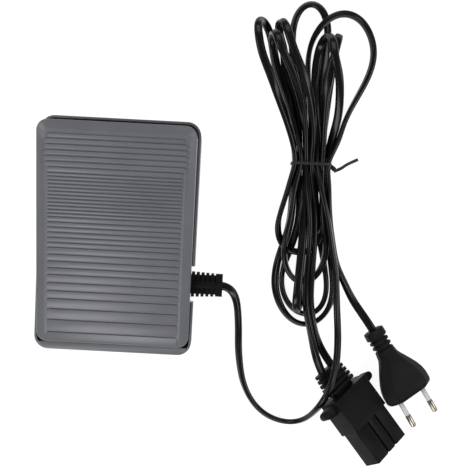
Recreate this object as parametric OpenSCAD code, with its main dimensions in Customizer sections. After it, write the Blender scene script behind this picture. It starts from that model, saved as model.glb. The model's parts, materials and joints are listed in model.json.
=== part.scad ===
// Foot pedal of a sewing machine: a ribbed tread hinged in a tray, the speed control inside,
// and two flat leads tied in a hank, which end in the machine connector and the mains plug.
// Origin on the ground under the middle of the tray, +X to the lead side, +Y to the toe, +Z up.

/* [Base tray] */
// Width of the tray
base_w = 104; // [87:0.5:126]
// Length of the tray, heel to toe
base_l = 153; // [150:1:188]
// Thickness of the tray walls
base_wall = 1.5; // [1.3:0.1:2.4]
// Thickness of the tray floor
floor_t = 2.5; // [2:0.1:3.5]
// Corner radius of the tray
base_corner_r = 9; // [6:0.5:12]
// Height of the rim above the ground at the heel
rim_heel_z = 17; // [16:0.5:18]
// Height of the rim above the ground at the toe
rim_toe_z = 33; // [28:0.5:36]
// Inset of the plinth step round the foot of the tray
plinth_inset = 1.2; // [0.6:0.1:2]
// Height of the plinth step
plinth_h = 1.6; // [1:0.1:2.2]
// Height of the rubber feet under the tray
foot_h = 3; // [2:0.5:4]
// Radius of a rubber foot
foot_r = 6.5; // [5:0.5:8]
// Distance of the feet from the sides of the tray
foot_inset_x = 12; // [10:1:16]
// Distance of the feet from the ends of the tray
foot_inset_y = 24; // [20:1:30]

/* [Tread] */
// Height of the tread surface at the heel edge
tread_heel_z = 23; // [22:0.5:26]
// Height of the tread surface at the toe edge
tread_toe_z = 60; // [44:0.2:72]
// Gap between the tread and the tray at each side
side_gap = 0.4; // [0.4:0.1:1]
// Distance from the heel end of the tray to the heel edge of the tread
heel_ledge = 5.2; // [4:0.1:7]
// Distance from the toe end of the tray to the toe edge of the tread
toe_room = 5.5; // [5:0.1:8]
// Thickness of the tread plate
tread_t = 2.4; // [2:0.1:3]
// Thickness of the tread skirt
skirt_t = 1.8; // [1.4:0.1:2.4]
// Depth that the skirt reaches below the rim of the tray
skirt_lap = 5; // [3:0.5:6]
// Width of the border that slopes down round the rib field
border_w = 6; // [4:0.5:8]
// Drop of that border at the edge
border_drop = 1.5; // [0.8:0.1:2.5]
// Rounding of the tread edge
edge_r = 1.6; // [0.8:0.1:2.4]

/* [Ribs] */
// Height of the ribs above the tread surface
rib_h = 0.9; // [0.5:0.1:1.4]
// Width of the groove between two ribs
groove_w = 1.1; // [0.8:0.1:1.4]
// Distance of the rib ends from the side of the tread
rib_inset = 7.6; // [6.5:0.1:10]
// Distance from the heel edge to the first groove
rib_heel_margin = 7.8; // [7:0.1:10]
// Distance from the last groove to the toe edge
rib_toe_margin = 8.6; // [7:0.1:12]
// Reach of the long ribs past the others at each end
long_rib_reach = 3.4; // [2:0.1:4.5]

/* [Hinge and stops] */
// Full travel of the tread in degrees
travel = 5.5; // [4:0.5:6]
// Radius of the hinge axle
axle_r = 2; // [1.5:0.1:2.5]
// Distance of the axle from the heel end of the tray
axle_inset = 15; // [14:0.5:20]
// Height of the axle above the ground
axle_z = 13; // [12:0.5:14]
// Radius of the hinge lugs
lug_r = 5; // [4:0.5:5.5]
// Thickness of the hinge lugs
lug_t = 4; // [3:0.5:5]
// Radius of the rubber stop pads
pad_r = 5; // [4:0.5:6]
// Height of the rubber stop pads
pad_h = 4; // [3:0.5:5]
// Mean radius of the return springs
spring_r = 5; // [4:0.5:6]
// Wire diameter of the return springs
spring_wire = 1.2; // [1:0.1:1.4]
// Installed length of the return springs
spring_len = 25; // [22:0.5:27]
// Number of turns of the return springs
spring_turns = 7; // [5:1:8]
// Distance of the return springs from the middle
spring_x = 24; // [20:1:26]
// Distance of the return springs from the toe end of the tray
spring_inset = 26; // [24:1:28]

/* [Control] */
// Distance of the plunger from the hinge axle
plunger_arm = 53; // [50:1:56]
// Width of the plunger stem
stem_w = 8; // [7:0.5:9]
// Depth of the plunger stem
stem_d = 5; // [4:0.5:6]
// Height of the plunger guide on the circuit board
guide_h = 10; // [9:0.5:11]
// Radius of the plunger dome
dome_r = 4; // [3:0.5:5]
// Wire diameter of the plunger spring
plunger_wire = 0.6; // [0.4:0.1:0.7]

/* [Circuit board] */
// Free margin between the circuit board and the sides of the tray
board_margin = 12.5; // [11:0.5:14]
// Gap between the circuit board and the spring seats
board_gap = 5; // [4:0.5:8]
// Thickness of the circuit board
board_t = 1.6; // [1:0.2:2]
// Height of the posts that carry the board
board_post_h = 4; // [3:0.5:5]
// Height of the heat sink
sink_h = 14; // [12:0.5:15]
// Number of fins on the heat sink
sink_fins = 6; // [4:1:8]
// Radius of the choke
choke_r = 8; // [6:0.5:9]

/* [Lead entry] */
// Distance of the lead from the heel end of the tray
lead_inset = 47.6; // [44:0.2:48]
// Height of the lead above the ground at the tray
lead_z = 12.5; // [12:0.5:13]
// Width of the recess in the side of the tray
recess_w = 24; // [24:1:30]
// Depth of that recess
recess_d = 5; // [4:0.5:6]
// Width of the strain relief at the tray
relief_w = 17; // [14:0.5:18]
// Height of the strain relief
relief_h = 12; // [10:0.5:13]
// Length of the strain relief outside the tray wall
relief_l = 23.9; // [20:0.1:26]
// Number of slots along the strain relief
relief_slots = 6; // [3:1:6]

/* [Leads] */
// Width of the flat leads
lead_w = 5.6; // [4.6:0.1:6.2]
// Thickness of the flat leads
lead_t = 3.5; // [3:0.1:4]
// Height of the hank of leads
hank_h = 22; // [18:1:26]
// Width of the hank at the tie
waist_w = 25; // [24:0.2:28]
// Height of the hank at the tie
waist_h = 11.6; // [11:0.2:18]
// Width of the band of the twist tie
tie_w = 2.2; // [2:0.2:5]

/* [Machine connector] */
// Width of the connector
plug3_w = 33; // [29:0.5:34]
// Thickness of the connector
plug3_t = 18.5; // [16:0.5:19]
// Length of the ribbed boot
plug3_boot_l = 18; // [16:0.5:20]
// Length of the moulded body behind the socket block
plug3_body_l = 24; // [22:0.5:30]
// Length of the socket block
plug3_block_l = 25; // [20:0.5:26]
// Span across the finger grips
plug3_grip_span = 51; // [46:0.5:52]
// Spacing of the three sockets
socket_pitch = 8; // [7.5:0.1:8.5]
// Radius of the bore of a socket
socket_r = 1.25; // [1:0.05:1.5]
// Depth of the bore of a socket
socket_l = 17; // [14:0.5:18]

/* [Mains plug] */
// Width of the plug at its front
plug_w = 35.3; // [35:0.1:36]
// Thickness of the plug
plug_t = 13; // [12:0.5:13.7]
// Length of the plug body
plug_body_l = 33.5; // [33:0.5:37]
// Length of the ringed boot
plug_boot_l = 17; // [15:0.5:20]
// Spacing of the two pins
pin_pitch = 18.8; // [18:0.1:19.2]
// Radius of the bare end of a pin
pin_r = 2; // [1.95:0.01:2.05]
// Length of a pin in front of the plug
pin_l = 19; // [18:0.5:20]
// Length of the insulating sleeve on a pin
sleeve_l = 10; // [9:0.5:11]

/* [Hidden] */
$fn = 48;

shell_grey = "#6d6e73";
lead_black = "#1b1b1d";
steel = "#b9bcc0";
brass = "#b8964a";

over = 1;            // reach of a cut past the face it opens
root_d = 0.5;        // depth that a boss or rib is rooted in its plate
fit_gap = 0.02;      // radial room of a pressed pin
run_gap = 0.05;      // radial room of a running pin
slide_gap = 0.3;     // room round a sliding or touching piece
seat_gap = 0.05;     // room between seated pieces

// Heights and outlines that the tray and the tread share
floor_z = foot_h + floor_t;
in_w = base_w - 2 * base_wall;
in_l = base_l - 2 * base_wall;
tread_w = in_w - 2 * side_gap;
tread_y0 = -base_l / 2 + heel_ledge;
tread_y1 = base_l / 2 - toe_room;
tread_l = tread_y1 - tread_y0;
tread_mid_y = (tread_y0 + tread_y1) / 2;
tread_rise = (tread_toe_z - tread_heel_z) / tread_l;
tread_slope = atan(tread_rise);
tread_corner_r = base_corner_r - base_wall - side_gap;
rim_rise = (rim_toe_z - rim_heel_z) / base_l;
tall = tread_toe_z + 20;

function tread_z(y) = tread_heel_z + (y - tread_y0) * tread_rise;
function under_z(y) = tread_z(y) - tread_t;
function rim_z(y) = rim_heel_z + (y + base_l / 2) * rim_rise;

// Hinge
axle_y = -base_l / 2 + axle_inset;
lug_x = tread_w / 2 - skirt_t - 5 - lug_t / 2;
ear_x = lug_x - lug_t - 2 * slide_gap;
axle_half = lug_x + lug_t / 2 + 3;

// Height at rest of a point at y that full travel brings down to z
function rest_z(y, z) = axle_z + (z - axle_z + (y - axle_y) * sin(travel)) / cos(travel);

// Stops and springs
stop_x = 14;
stop_y = base_l / 2 - 13;
stop_post_r = 4;
pad_top = floor_z + pad_h;
spring_y = base_l / 2 - spring_inset;
spring_seat_h = 2;
spring_z0 = floor_z + spring_seat_h;
spigot_r = spring_r - spring_wire / 2 - 0.6;
spigot_h = 4;
seat_r = spring_r + spring_wire / 2 + 1.4;

// Circuit board and control
board_w = base_w - 2 * board_margin;
board_y0 = axle_y + 45;
board_y1 = spring_y - seat_r - board_gap;
board_l = board_y1 - board_y0;
board_z = floor_z + board_post_h;
board_top = board_z + board_t;
board_hole_inset = 5;
screw_r = 1.2;
plunger_y = axle_y + plunger_arm;
plunger_stroke = plunger_arm * travel * PI / 180;
stem_z0 = board_top + 0.5 + plunger_stroke;
guide_top = board_top + guide_h;
spring_coil_r = norm([stem_w, stem_d]) / 2 + plunger_wire / 2 + slide_gap;
flange_t = 1.5;
flange_z = under_z(plunger_y) - 0.8 - slide_gap - dome_r;
plunger_turns = 3.5;
track_room = 2.7;
track_t = 0.8;

// Lead entry
lead_y = -base_l / 2 + lead_inset;
recess_x = base_w / 2 - recess_d;
recess_top = lead_z + relief_h / 2 + 0.3;
slot_w = 10;
relief_flange_t = 2.2;
clamp_x = recess_x - 10;
clamp_l = 6;
clamp_w = 24;
clamp_top = lead_z + lead_t / 2 + 2.8;
lead_end_x = clamp_x - 7;

// Terminal block
block_size = [11, 9, 9.5];
block_x = board_w / 2 - 16;
block_y = board_y0 + block_size[1] / 2 + 0.5;
wire_r = 1;
wire_z = board_top + 3;

// Two flat leads: points along their middle where they are not coiled, and the shift that
// brings them all to the strain relief
pedal_route = [[70.5, -31, lead_z], [74.5, -32.2, 12.2], [77.7, -35.5, 11], [79.8, -40.3, 9],
    [80.9, -46.5, 6.8], [81.9, -55.8, 4.4], [82.8, -64, 3], [83.5, -71, 2.4], [84.8, -82, 2.4],
    [87.5, -95, 2.4], [93, -106.5, 2.4], [101, -114.5, 2.6], [111, -119, 3.6], [121, -119.6, 6.2],
    [128.5, -117, 10.6], [134, -111.5, 18.2], [138.6, -103.8, 28], [142.8, -96, 31.6],
    [146, -87.5, 30.6], [148.2, -78, 26.6], [149.2, -67, 21.4], [149.2, -56, 17], [148, -43, 13.6],
    [145, -29, 11.5]];
lead_in_route = [[125.7, -34, 9], [126.8, -45, 10], [128.5, -57, 11.6], [131.4, -68.5, 14.6],
    [135, -78, 18.3], [139.2, -84.8, 20.3]];
lead_out_route = [[132.1, -34, 9.5], [133.3, -45, 10], [135.6, -57, 10.8], [138.8, -66.5, 12],
    [142.2, -73.8, 13.6], [145.5, -79.6, 14.6]];
plug_route = [[142.5, -5, 12], [147, -14.5, 11], [151.3, -23.2, 8.8], [156, -32, 7],
    [161, -39.6, 6.8], [165.2, -45, 8], [169.2, -50.4, 9.3], [173, -55.8, 9.6]];

cord_shift = [recess_x + relief_l - pedal_route[0][0], lead_y - pedal_route[0][1], 0];

// Hank, tie, connector and plug where they lie
waist_at = [126, 53.5];
waist_half_l = 6;
tie_t = 1;
waist_z0 = tie_t + 0.4;
upper_fan = [[88, 144, 6], [121, 156, 7], [148, 145, 13], [154, 118, 9]];
lower_fan = [[112, 10, 7], [117, -33, 12], [128, -45, 12], [136, -30, 10], [134, 10, 8]];
connector_at = [142.4, -82.1, 17.5];
connector_yaw = -51;
connector_roll = -35;
plug_at = [173, -55.8, 9.6];
plug_yaw = -56.5;
plug_roll = -16;

// Outline of a rectangle with round corners
module rounded_rect(w, l, r) {
    square([w - 2 * r, l], center = true);
    square([w, l - 2 * r], center = true);
    for (sx = [-1, 1], sy = [-1, 1])
        translate([sx * (w / 2 - r), sy * (l / 2 - r)])
            circle(r);
}

module rounded_plate(w, l, r, h) {
    linear_extrude(h)
        rounded_rect(w, l, r);
}

// Bar along X with a rounded section: w across Y, h across Z
module rounded_bar(l, w, h, r) {
    rotate([90, 0, 90])
        linear_extrude(l)
            rounded_rect(w, h, r);
}

// Side view in Y and Z carried across X
module side_prism(w) {
    rotate([90, 0, 90])
        linear_extrude(w, center = true)
            children();
}

// Slot with round ends along Y
module slot_outline(w, l) {
    square([w, l - w], center = true);
    for (s = [-1, 1])
        translate([0, s * (l - w) / 2])
            circle(w / 2);
}

module both_sides(x) {
    for (s = [-1, 1])
        translate([s * x, 0, 0])
            children();
}

// Points on a smooth curve through a route, with steps points to each stretch
function route_point(r, i) = r[max(0, min(len(r) - 1, i))];
function curve_at(a, b, c, d, t) =
    0.5 * (2 * b + (c - a) * t + (2 * a - 5 * b + 4 * c - d) * t * t + (3 * b - a - 3 * c + d) * t * t * t);
function smooth_route(r, steps) = [
    for (i = [0 : len(r) - 2], k = [0 : steps - 1])
        curve_at(route_point(r, i - 1), r[i], r[i + 1], route_point(r, i + 2), k / steps),
    r[len(r) - 1]];
function unit(v) = v / norm(v);
function sum(v, i = 0) = i < len(v) ? v[i] + sum(v, i + 1) : 0;

// Oval tube along a route: w wide level with the ground and t thick
module flat_tube(path, w, t, sides) {
    last = len(path) - 1;
    along = [for (i = [0 : last]) unit(path[min(last, i + 1)] - path[max(0, i - 1)])];
    across = [for (a = along) unit(cross([0, 0, 1], a))];
    points = [for (i = [0 : last], k = [0 : sides - 1])
        path[i] + across[i] * cos(360 * k / sides) * w / 2
            + cross(along[i], across[i]) * sin(360 * k / sides) * t / 2];
    skin = [for (i = [0 : last - 1], k = [0 : sides - 1])
        let (a = i * sides, n = (k + 1) % sides)
        [a + k, a + n, a + sides + n, a + sides + k]];
    caps = [[for (k = [sides - 1 : -1 : 0]) k], [for (k = [0 : sides - 1]) last * sides + k]];
    polyhedron(points, [for (f = concat(skin, caps)) [for (k = [len(f) - 1 : -1 : 0]) f[k]]]);
}

// Coil spring standing on z = 0, with its end turns closed up
module coil_spring(r, wire, length, turns, sides) {
    steps = 18 * turns;
    rise = length - wire;
    ring = [for (i = [0 : steps])
        let (t = i / steps, a = 360 * turns * t, lift = rise * (t - sin(360 * t) / 9))
        [r * cos(a), r * sin(a), wire / 2 + lift, a]];
    points = [for (p = ring, k = [0 : sides - 1])
        let (b = 360 * k / sides, q = r + cos(b) * wire / 2)
        [q * cos(p[3]), q * sin(p[3]), p[2] + sin(b) * wire / 2]];
    skin = [for (i = [0 : steps - 1], k = [0 : sides - 1])
        let (a = i * sides, n = (k + 1) % sides)
        [a + k, a + n, a + sides + n, a + sides + k]];
    caps = [[for (k = [sides - 1 : -1 : 0]) k], [for (k = [0 : sides - 1]) steps * sides + k]];
    polyhedron(points, concat(skin, caps));
}

// Cheese-head screw with its tip at z = 0
module screw(r, length, head_r, head_h) {
    cylinder(r = r, h = length);
    difference() {
        translate([0, 0, length])
            cylinder(r = head_r, h = head_h);
        for (a = [0, 90])
            rotate([0, 0, a])
                translate([-head_r * 0.7, -0.4, length + head_h * 0.5])
                    cube([head_r * 1.4, 0.8, head_h]);
    }
}

// Hollow of the tray, which leaves a ledge standing at the heel end behind the tread
module tray_hollow() {
    ledge_y = tread_y0 - side_gap;
    ledge_t = 2;
    difference() {
        translate([0, 0, floor_z])
            rounded_plate(in_w, in_l, base_corner_r - base_wall, tall);
        side_prism(2 * base_w)
            polygon([[-base_l, rim_z(-base_l) - ledge_t], [ledge_y, rim_z(ledge_y) - ledge_t],
                [ledge_y, 2 * tall], [-base_l, 2 * tall]]);
    }
}

// Tray shell, closed at the foot and cut to the sloping rim
module tray_shell() {
    difference() {
        intersection() {
            union() {
                translate([0, 0, foot_h])
                    rounded_plate(base_w - 2 * plinth_inset, base_l - 2 * plinth_inset,
                        base_corner_r - plinth_inset, plinth_h);
                translate([0, 0, foot_h + plinth_h])
                    rounded_plate(base_w, base_l, base_corner_r, tall);
            }
            side_prism(2 * base_w)
                polygon([[-base_l, 0], [base_l, 0], [base_l, rim_z(base_l)], [-base_l, rim_z(-base_l)]]);
        }
        tray_hollow();
    }
}

// Walls of the recess that the lead comes out of
module recess_walls() {
    translate([recess_x - base_wall, lead_y - recess_w / 2 - base_wall, floor_z - root_d])
        cube([recess_d + base_wall / 2, recess_w + 2 * base_wall, recess_top - floor_z + root_d]);
}

module hinge_lug() {
    side_prism(lug_t) {
        translate([axle_y, axle_z])
            circle(lug_r);
        translate([axle_y - lug_r, floor_z - root_d])
            square([2 * lug_r, axle_z - floor_z + root_d]);
    }
}

module at_feet() {
    for (sx = [-1, 1], sy = [-1, 1])
        translate([sx * (base_w / 2 - foot_inset_x), sy * (base_l / 2 - foot_inset_y), 0])
            children();
}

module at_board_holes() {
    for (sx = [-1, 1], sy = [-1, 1])
        translate([sx * (board_w / 2 - board_hole_inset),
            (board_y0 + board_y1) / 2 + sy * (board_l / 2 - board_hole_inset), 0])
            children();
}

module at_clamp_screws() {
    for (s = [-1, 1])
        translate([clamp_x, lead_y + s * (clamp_w / 2 - 3.5), 0])
            children();
}

module base_tray() {
    vents = 6;
    vent_w = 2.4;
    heel_block = [12, 4];
    heel_y = tread_y0 + skirt_t / 2;
    color(shell_grey)
        difference() {
            union() {
                difference() {
                    union() {
                        tray_shell();
                        recess_walls();
                    }
                    translate([recess_x, lead_y - recess_w / 2, -over])
                        cube([recess_d + over, recess_w, tall]);
                }
                both_sides(lug_x)
                    hinge_lug();
                both_sides(spring_x)
                    translate([0, spring_y, floor_z - root_d]) {
                        cylinder(r = seat_r, h = spring_seat_h + root_d);
                        cylinder(r = spigot_r, h = spring_seat_h + root_d + spigot_h);
                    }
                at_board_holes()
                    translate([0, 0, floor_z - root_d])
                        cylinder(r = 3.5, h = board_post_h + root_d);
                translate([clamp_x - clamp_l / 2, lead_y - clamp_w / 2, floor_z - root_d])
                    cube([clamp_l, clamp_w, lead_z - lead_t / 2 - floor_z + root_d]);
                both_sides(ear_x - 12)
                    translate([-heel_block[0] / 2, heel_y - heel_block[1] / 2, floor_z - root_d])
                        cube([heel_block[0], heel_block[1],
                            rim_z(heel_y - heel_block[1] / 2) - skirt_lap - slide_gap - floor_z + root_d]);
            }
            // Slot that the strain relief drops into
            translate([recess_x - base_wall - over, lead_y, 0]) {
                translate([0, 0, lead_z])
                    rotate([0, 90, 0])
                        cylinder(r = slot_w / 2, h = base_wall + 2 * over);
                translate([0, -slot_w / 2, lead_z])
                    cube([base_wall + 2 * over, slot_w, tall]);
            }
            translate([0, axle_y, axle_z])
                rotate([0, 90, 0])
                    cylinder(r = axle_r + fit_gap, h = 2 * axle_half, center = true);
            at_feet()
                translate([0, 0, -over])
                    cylinder(r = 2.5, h = tall);
            at_board_holes()
                translate([0, 0, floor_z])
                    cylinder(r = screw_r + run_gap, h = tall);
            at_clamp_screws()
                translate([0, 0, floor_z])
                    cylinder(r = screw_r + run_gap, h = tall);
            for (i = [0 : vents - 1])
                translate([-board_w / 2 + 6 + 3 * vent_w * i, board_y0 - 17, -over])
                    linear_extrude(tall)
                        slot_outline(vent_w, 24);
        }
}

module rubber_feet() {
    color("#2a2a2c")
        at_feet() {
            cylinder(r1 = foot_r - 0.8, r2 = foot_r, h = foot_h);
            cylinder(r = 2.5 - seat_gap, h = floor_z);
        }
}

// One level of the tread outline, drawn in by inset and standing at height z under the top plane
module tread_level(inset, z, h) {
    translate([0, tread_mid_y, z])
        linear_extrude(h)
            rounded_rect(tread_w - 2 * inset, tread_l - 2 * inset,
                max(0.5, tread_corner_r - inset), $fn = 32);
}

// Lifts what it holds so that level planes follow the slope of the tread
module sloped() {
    multmatrix([[1, 0, 0, 0], [0, 1, 0, 0], [0, tread_rise, 1, tread_z(0)], [0, 0, 0, 1]])
        children();
}

// Outer form of the tread: upright skirt, rounded edge, sloping border and flat top
module tread_form() {
    thin = 0.01;
    hull()
        sloped() {
            tread_level(0, -tall, tall - border_drop - edge_r);
            for (a = [30, 60, 90])
                tread_level(edge_r * (1 - cos(a)), -border_drop - edge_r * (1 - sin(a)) - thin, thin);
            tread_level(border_w, -thin, thin);
        }
}

module tread_hollow() {
    hull()
        sloped() {
            tread_level(skirt_t, -2 * tall, 2 * tall - tread_t - border_drop);
            tread_level(border_w, -tread_t - 0.01, 0.01);
        }
}

// Rib pitches from the heel to the toe, as [count, share], spread over the rib field
rib_groups = [[1, 8.6], [1, 7.6], [1, 7], [3, 5.5], [4, 4.6], [6, 3.4], [12, 2.4], [6, 3.65], [1, 3.3]];
rib_shares = [for (g = rib_groups, i = [1 : g[0]]) g[1]];
rib_field_l = tread_l / cos(tread_slope) - rib_heel_margin - rib_toe_margin;
rib_pitches = rib_shares * rib_field_l / sum(rib_shares);
long_ribs = [len(rib_pitches) - 6, len(rib_pitches) - 2];
function groove_y(i) = i <= 0 ? rib_heel_margin : groove_y(i - 1) + rib_pitches[i - 1];
function is_long(i) = i >= long_ribs[0] && i <= long_ribs[1];

// Rib with cut corners, or with pointed ends on the long ones
module rib_outline(width, half, pointed) {
    cut = pointed ? [long_rib_reach, width / 2 - 0.1] : [0.5, min(0.5, 0.3 * width)];
    end = [half, width / 2 - cut[1]];
    side = [half - cut[0], width / 2];
    polygon([end, side, [-side[0], side[1]], [-end[0], end[1]], -end, -side, [side[0], -side[1]],
        [end[0], -end[1]]]);
}

module tread_ribs() {
    half = tread_w / 2 - rib_inset;
    land_l = 5.2;
    land_y = rib_heel_margin - groove_w / 2;
    translate([0, tread_y0, tread_heel_z])
        rotate([tread_slope, 0, 0]) {
            for (i = [0 : len(rib_pitches) - 1])
                translate([0, groove_y(i) + rib_pitches[i] / 2, -root_d])
                    linear_extrude(rib_h + root_d)
                        rib_outline(rib_pitches[i] - groove_w,
                            half + (is_long(i) ? long_rib_reach : 0), is_long(i));
            // Heel land, which rises to the first groove
            side_prism(2 * half)
                polygon([[land_y - land_l, -root_d], [land_y, -root_d], [land_y, rib_h],
                    [land_y - land_l, 0.1]]);
        }
}

// Wall under the tread plate from y0 to y1, as deep as drop below the plate
module under_rib(width, y0, y1, drop) {
    side_prism(width)
        polygon([[y0, under_z(y0) - drop], [y1, under_z(y1) - drop],
            [y1, under_z(y1) + root_d], [y0, under_z(y0) + root_d]]);
}

module tread_ear() {
    side_prism(lug_t)
        difference() {
            union() {
                translate([axle_y, axle_z])
                    circle(lug_r);
                polygon([[axle_y - lug_r, axle_z], [axle_y + lug_r, axle_z],
                    [axle_y + lug_r, under_z(axle_y + lug_r) + root_d],
                    [axle_y - lug_r, under_z(axle_y - lug_r) + root_d]]);
            }
            translate([axle_y, axle_z])
                circle(axle_r + run_gap);
        }
}

// Post under the tread plate from height z up into the plate, cut to its slope
module under_post(x, y, r, z) {
    intersection() {
        translate([x, y, z])
            cylinder(r = r, h = tall);
        side_prism(2 * base_w)
            polygon([[y - 2 * r, z - over], [y + 2 * r, z - over],
                [y + 2 * r, under_z(y + 2 * r) + root_d], [y - 2 * r, under_z(y - 2 * r) + root_d]]);
    }
}

module tread() {
    beam_h = 4.5;
    cross_h = 3.5;
    cross_t = 1.8;
    spring_top = spring_z0 + spring_len;
    post_z = rest_z(stop_y + stop_post_r, pad_top + slide_gap);
    cut_top = rest_z(lead_y + recess_w / 2 + base_wall, recess_top + 2 * slide_gap);
    color(shell_grey)
        difference() {
            union() {
                difference() {
                    tread_form();
                    tread_hollow();
                    side_prism(2 * base_w)
                        polygon([[-base_l, -tall], [base_l, -tall], [base_l, rim_z(base_l) - skirt_lap],
                            [-base_l, rim_z(-base_l) - skirt_lap]]);
                }
                tread_ribs();
                both_sides(ear_x) {
                    tread_ear();
                    under_rib(2, axle_y, tread_y1 - border_w, beam_h);
                }
                for (y = [lead_y, plunger_y + 30])
                    under_rib(2 * ear_x, y, y + cross_t, cross_h);
                both_sides(spring_x) {
                    under_post(0, spring_y, seat_r, spring_top);
                    under_post(0, spring_y, spigot_r, spring_top - spigot_h);
                }
                for (s = [-1, 1])
                    under_post(s * stop_x, stop_y, stop_post_r, post_z);
                under_post(0, plunger_y, dome_r + 2, flange_z + dome_r + slide_gap);
            }
            // Way through the skirt for the recess and the strain relief
            translate([recess_x - base_wall - 1, lead_y - recess_w / 2 - base_wall - 1, -over])
                cube([recess_d + base_wall + 10, recess_w + 2 * base_wall + 2, cut_top + over]);
        }
}

module hinge_axle() {
    color(steel)
        translate([0, axle_y, axle_z])
            rotate([0, 90, 0])
                cylinder(r = axle_r, h = 2 * axle_half, center = true);
}

module axle_clips() {
    clip_t = 0.8;
    color(steel)
        for (s = [-1, 1])
            translate([s * (lug_x + lug_t / 2 + seat_gap + clip_t / 2), axle_y, axle_z])
                rotate([0, 90, 0])
                    difference() {
                        cylinder(r = axle_r + 2, h = clip_t, center = true);
                        cylinder(r = axle_r + fit_gap, h = clip_t + over, center = true);
                        translate([0, -axle_r * 0.7, -clip_t])
                            cube([2 * axle_r + over, axle_r * 1.4, 2 * clip_t]);
                    }
}

module stop_pads() {
    color("#2a2a2c")
        both_sides(stop_x)
            translate([0, stop_y, floor_z])
                rotate_extrude()
                    polygon([[0, 0], [pad_r, 0], [pad_r, pad_h - 1], [pad_r - 1, pad_h], [0, pad_h]]);
}

module return_springs() {
    color(steel)
        both_sides(spring_x)
            translate([0, spring_y, spring_z0])
                coil_spring(spring_r, spring_wire, spring_len, spring_turns, 8);
}

module circuit_board() {
    color("#8a6d3b")
        difference() {
            translate([-board_w / 2, board_y0, board_z])
                cube([board_w, board_l, board_t]);
            at_board_holes()
                translate([0, 0, board_z - over])
                    cylinder(r = screw_r + 0.4, h = board_t + 2 * over);
        }
}

module board_screws() {
    color(steel)
        at_board_holes()
            translate([0, 0, floor_z + seat_gap])
                screw(screw_r, board_top - floor_z, 2.8, 2);
}

// Guide that the plunger slides in, with a side room for the wiper
module control_guide() {
    wall = 2;
    room_w = stem_w + slide_gap + track_room + slide_gap;
    color("#2f3033")
        translate([-stem_w / 2 - slide_gap, plunger_y, board_top])
            difference() {
                translate([-wall, -stem_d / 2 - slide_gap - wall, 0])
                    cube([room_w + 2 * wall, stem_d + 2 * slide_gap + 2 * wall, guide_h]);
                translate([0, -stem_d / 2 - slide_gap, -over])
                    cube([room_w, stem_d + 2 * slide_gap, guide_h + 2 * over]);
            }
}

module resistor_track() {
    color("#d8d2c4")
        translate([stem_w / 2 + slide_gap + track_room - track_t, plunger_y - stem_d / 2, board_top])
            cube([track_t, stem_d, guide_h]);
}

// Plunger: a flat stem under a flange, with a round dome that the tread presses on
module control_plunger() {
    flange_r = spring_coil_r + plunger_wire;
    dome = [for (i = [0 : 5]) let (a = 30 + 10 * i) dome_r * [cos(a), sin(a)]];
    color("#d9d9d6")
        translate([0, plunger_y, 0]) {
            translate([-stem_w / 2, -stem_d / 2, stem_z0])
                cube([stem_w, stem_d, flange_z - stem_z0 + root_d]);
            translate([0, 0, flange_z])
                rotate_extrude()
                    polygon(concat([[0, 0], [flange_r, 0], [flange_r, flange_t], [dome[0][0], flange_t]],
                        dome, [[0, dome[5][1]]]));
        }
}

// Bent leaf on the side of the stem that rubs on the track
module wiper_contact() {
    leaf = 0.4;
    reach = track_room - track_t - 0.1;
    color(brass)
        translate([stem_w / 2, plunger_y - 1.5, stem_z0 + 0.6]) {
            cube([reach, 3, leaf]);
            translate([reach - leaf, 0, 0])
                cube([leaf, 3, 3]);
        }
}

module plunger_spring() {
    color(steel)
        translate([0, plunger_y, guide_top])
            coil_spring(spring_coil_r, plunger_wire, flange_z - guide_top, plunger_turns, 8);
}

// Heat sink: an upright plate with fins towards the side wall, clear of the beam of the tread
sink_x = -ear_x + 11;
sink_y = board_y1 - 24;
sink_l = 28;
module heat_sink() {
    plate = 2;
    fin_l = 6;
    fin_t = 1.4;
    color("#a9adb2")
        translate([sink_x, sink_y, board_top])
            linear_extrude(sink_h)
                union() {
                    translate([-plate, -sink_l / 2])
                        square([plate, sink_l]);
                    for (i = [0 : sink_fins - 1])
                        translate([-plate - fin_l, -sink_l / 2 + i * (sink_l - fin_t) / (sink_fins - 1)])
                            square([fin_l + 0.5, fin_t]);
                }
}

triac_foot = 2;
triac_tab = [1.3, 10, 12];
tab_hole_z = triac_foot + triac_tab[2] - 2.8;
module triac() {
    body = [4.4, 10, 6.4];
    color("#222224")
        translate([sink_x, sink_y, board_top]) {
            difference() {
                translate([0, -triac_tab[1] / 2, triac_foot])
                    cube(triac_tab);
                translate([-over, 0, tab_hole_z])
                    rotate([0, 90, 0])
                        cylinder(r = screw_r + 0.3, h = triac_tab[0] + 2 * over);
            }
            translate([0, -body[1] / 2, triac_foot])
                cube(body);
            for (y = [-2.54, 0, 2.54])
                translate([triac_tab[0], y - 0.4, 0])
                    cube([0.6, 0.8, triac_foot + root_d]);
        }
}

module triac_screw() {
    color(steel)
        translate([sink_x + seat_gap, sink_y, board_top + tab_hole_z])
            rotate([0, 90, 0])
                screw(screw_r, triac_tab[0], 2.4, 1.6);
}

module suppressor_capacitor() {
    size = [18, 9, 12];
    color("#c9b458")
        translate([board_w / 2 - 20, board_y1 - 14, board_top])
            rounded_plate(size[0], size[1], 1, size[2]);
}

choke_at = [14 + choke_r, board_y0 + 24];
choke_h = 11;
choke_hub_r = 4;
module choke_core() {
    rim = 1.5;
    color("#3a3a3c")
        translate([choke_at[0], choke_at[1], board_top])
            rotate_extrude()
                polygon([[0, 0], [choke_r, 0], [choke_r, rim], [choke_hub_r, rim],
                    [choke_hub_r, choke_h - rim], [choke_r, choke_h - rim],
                    [choke_r, choke_h], [0, choke_h]]);
}

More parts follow.
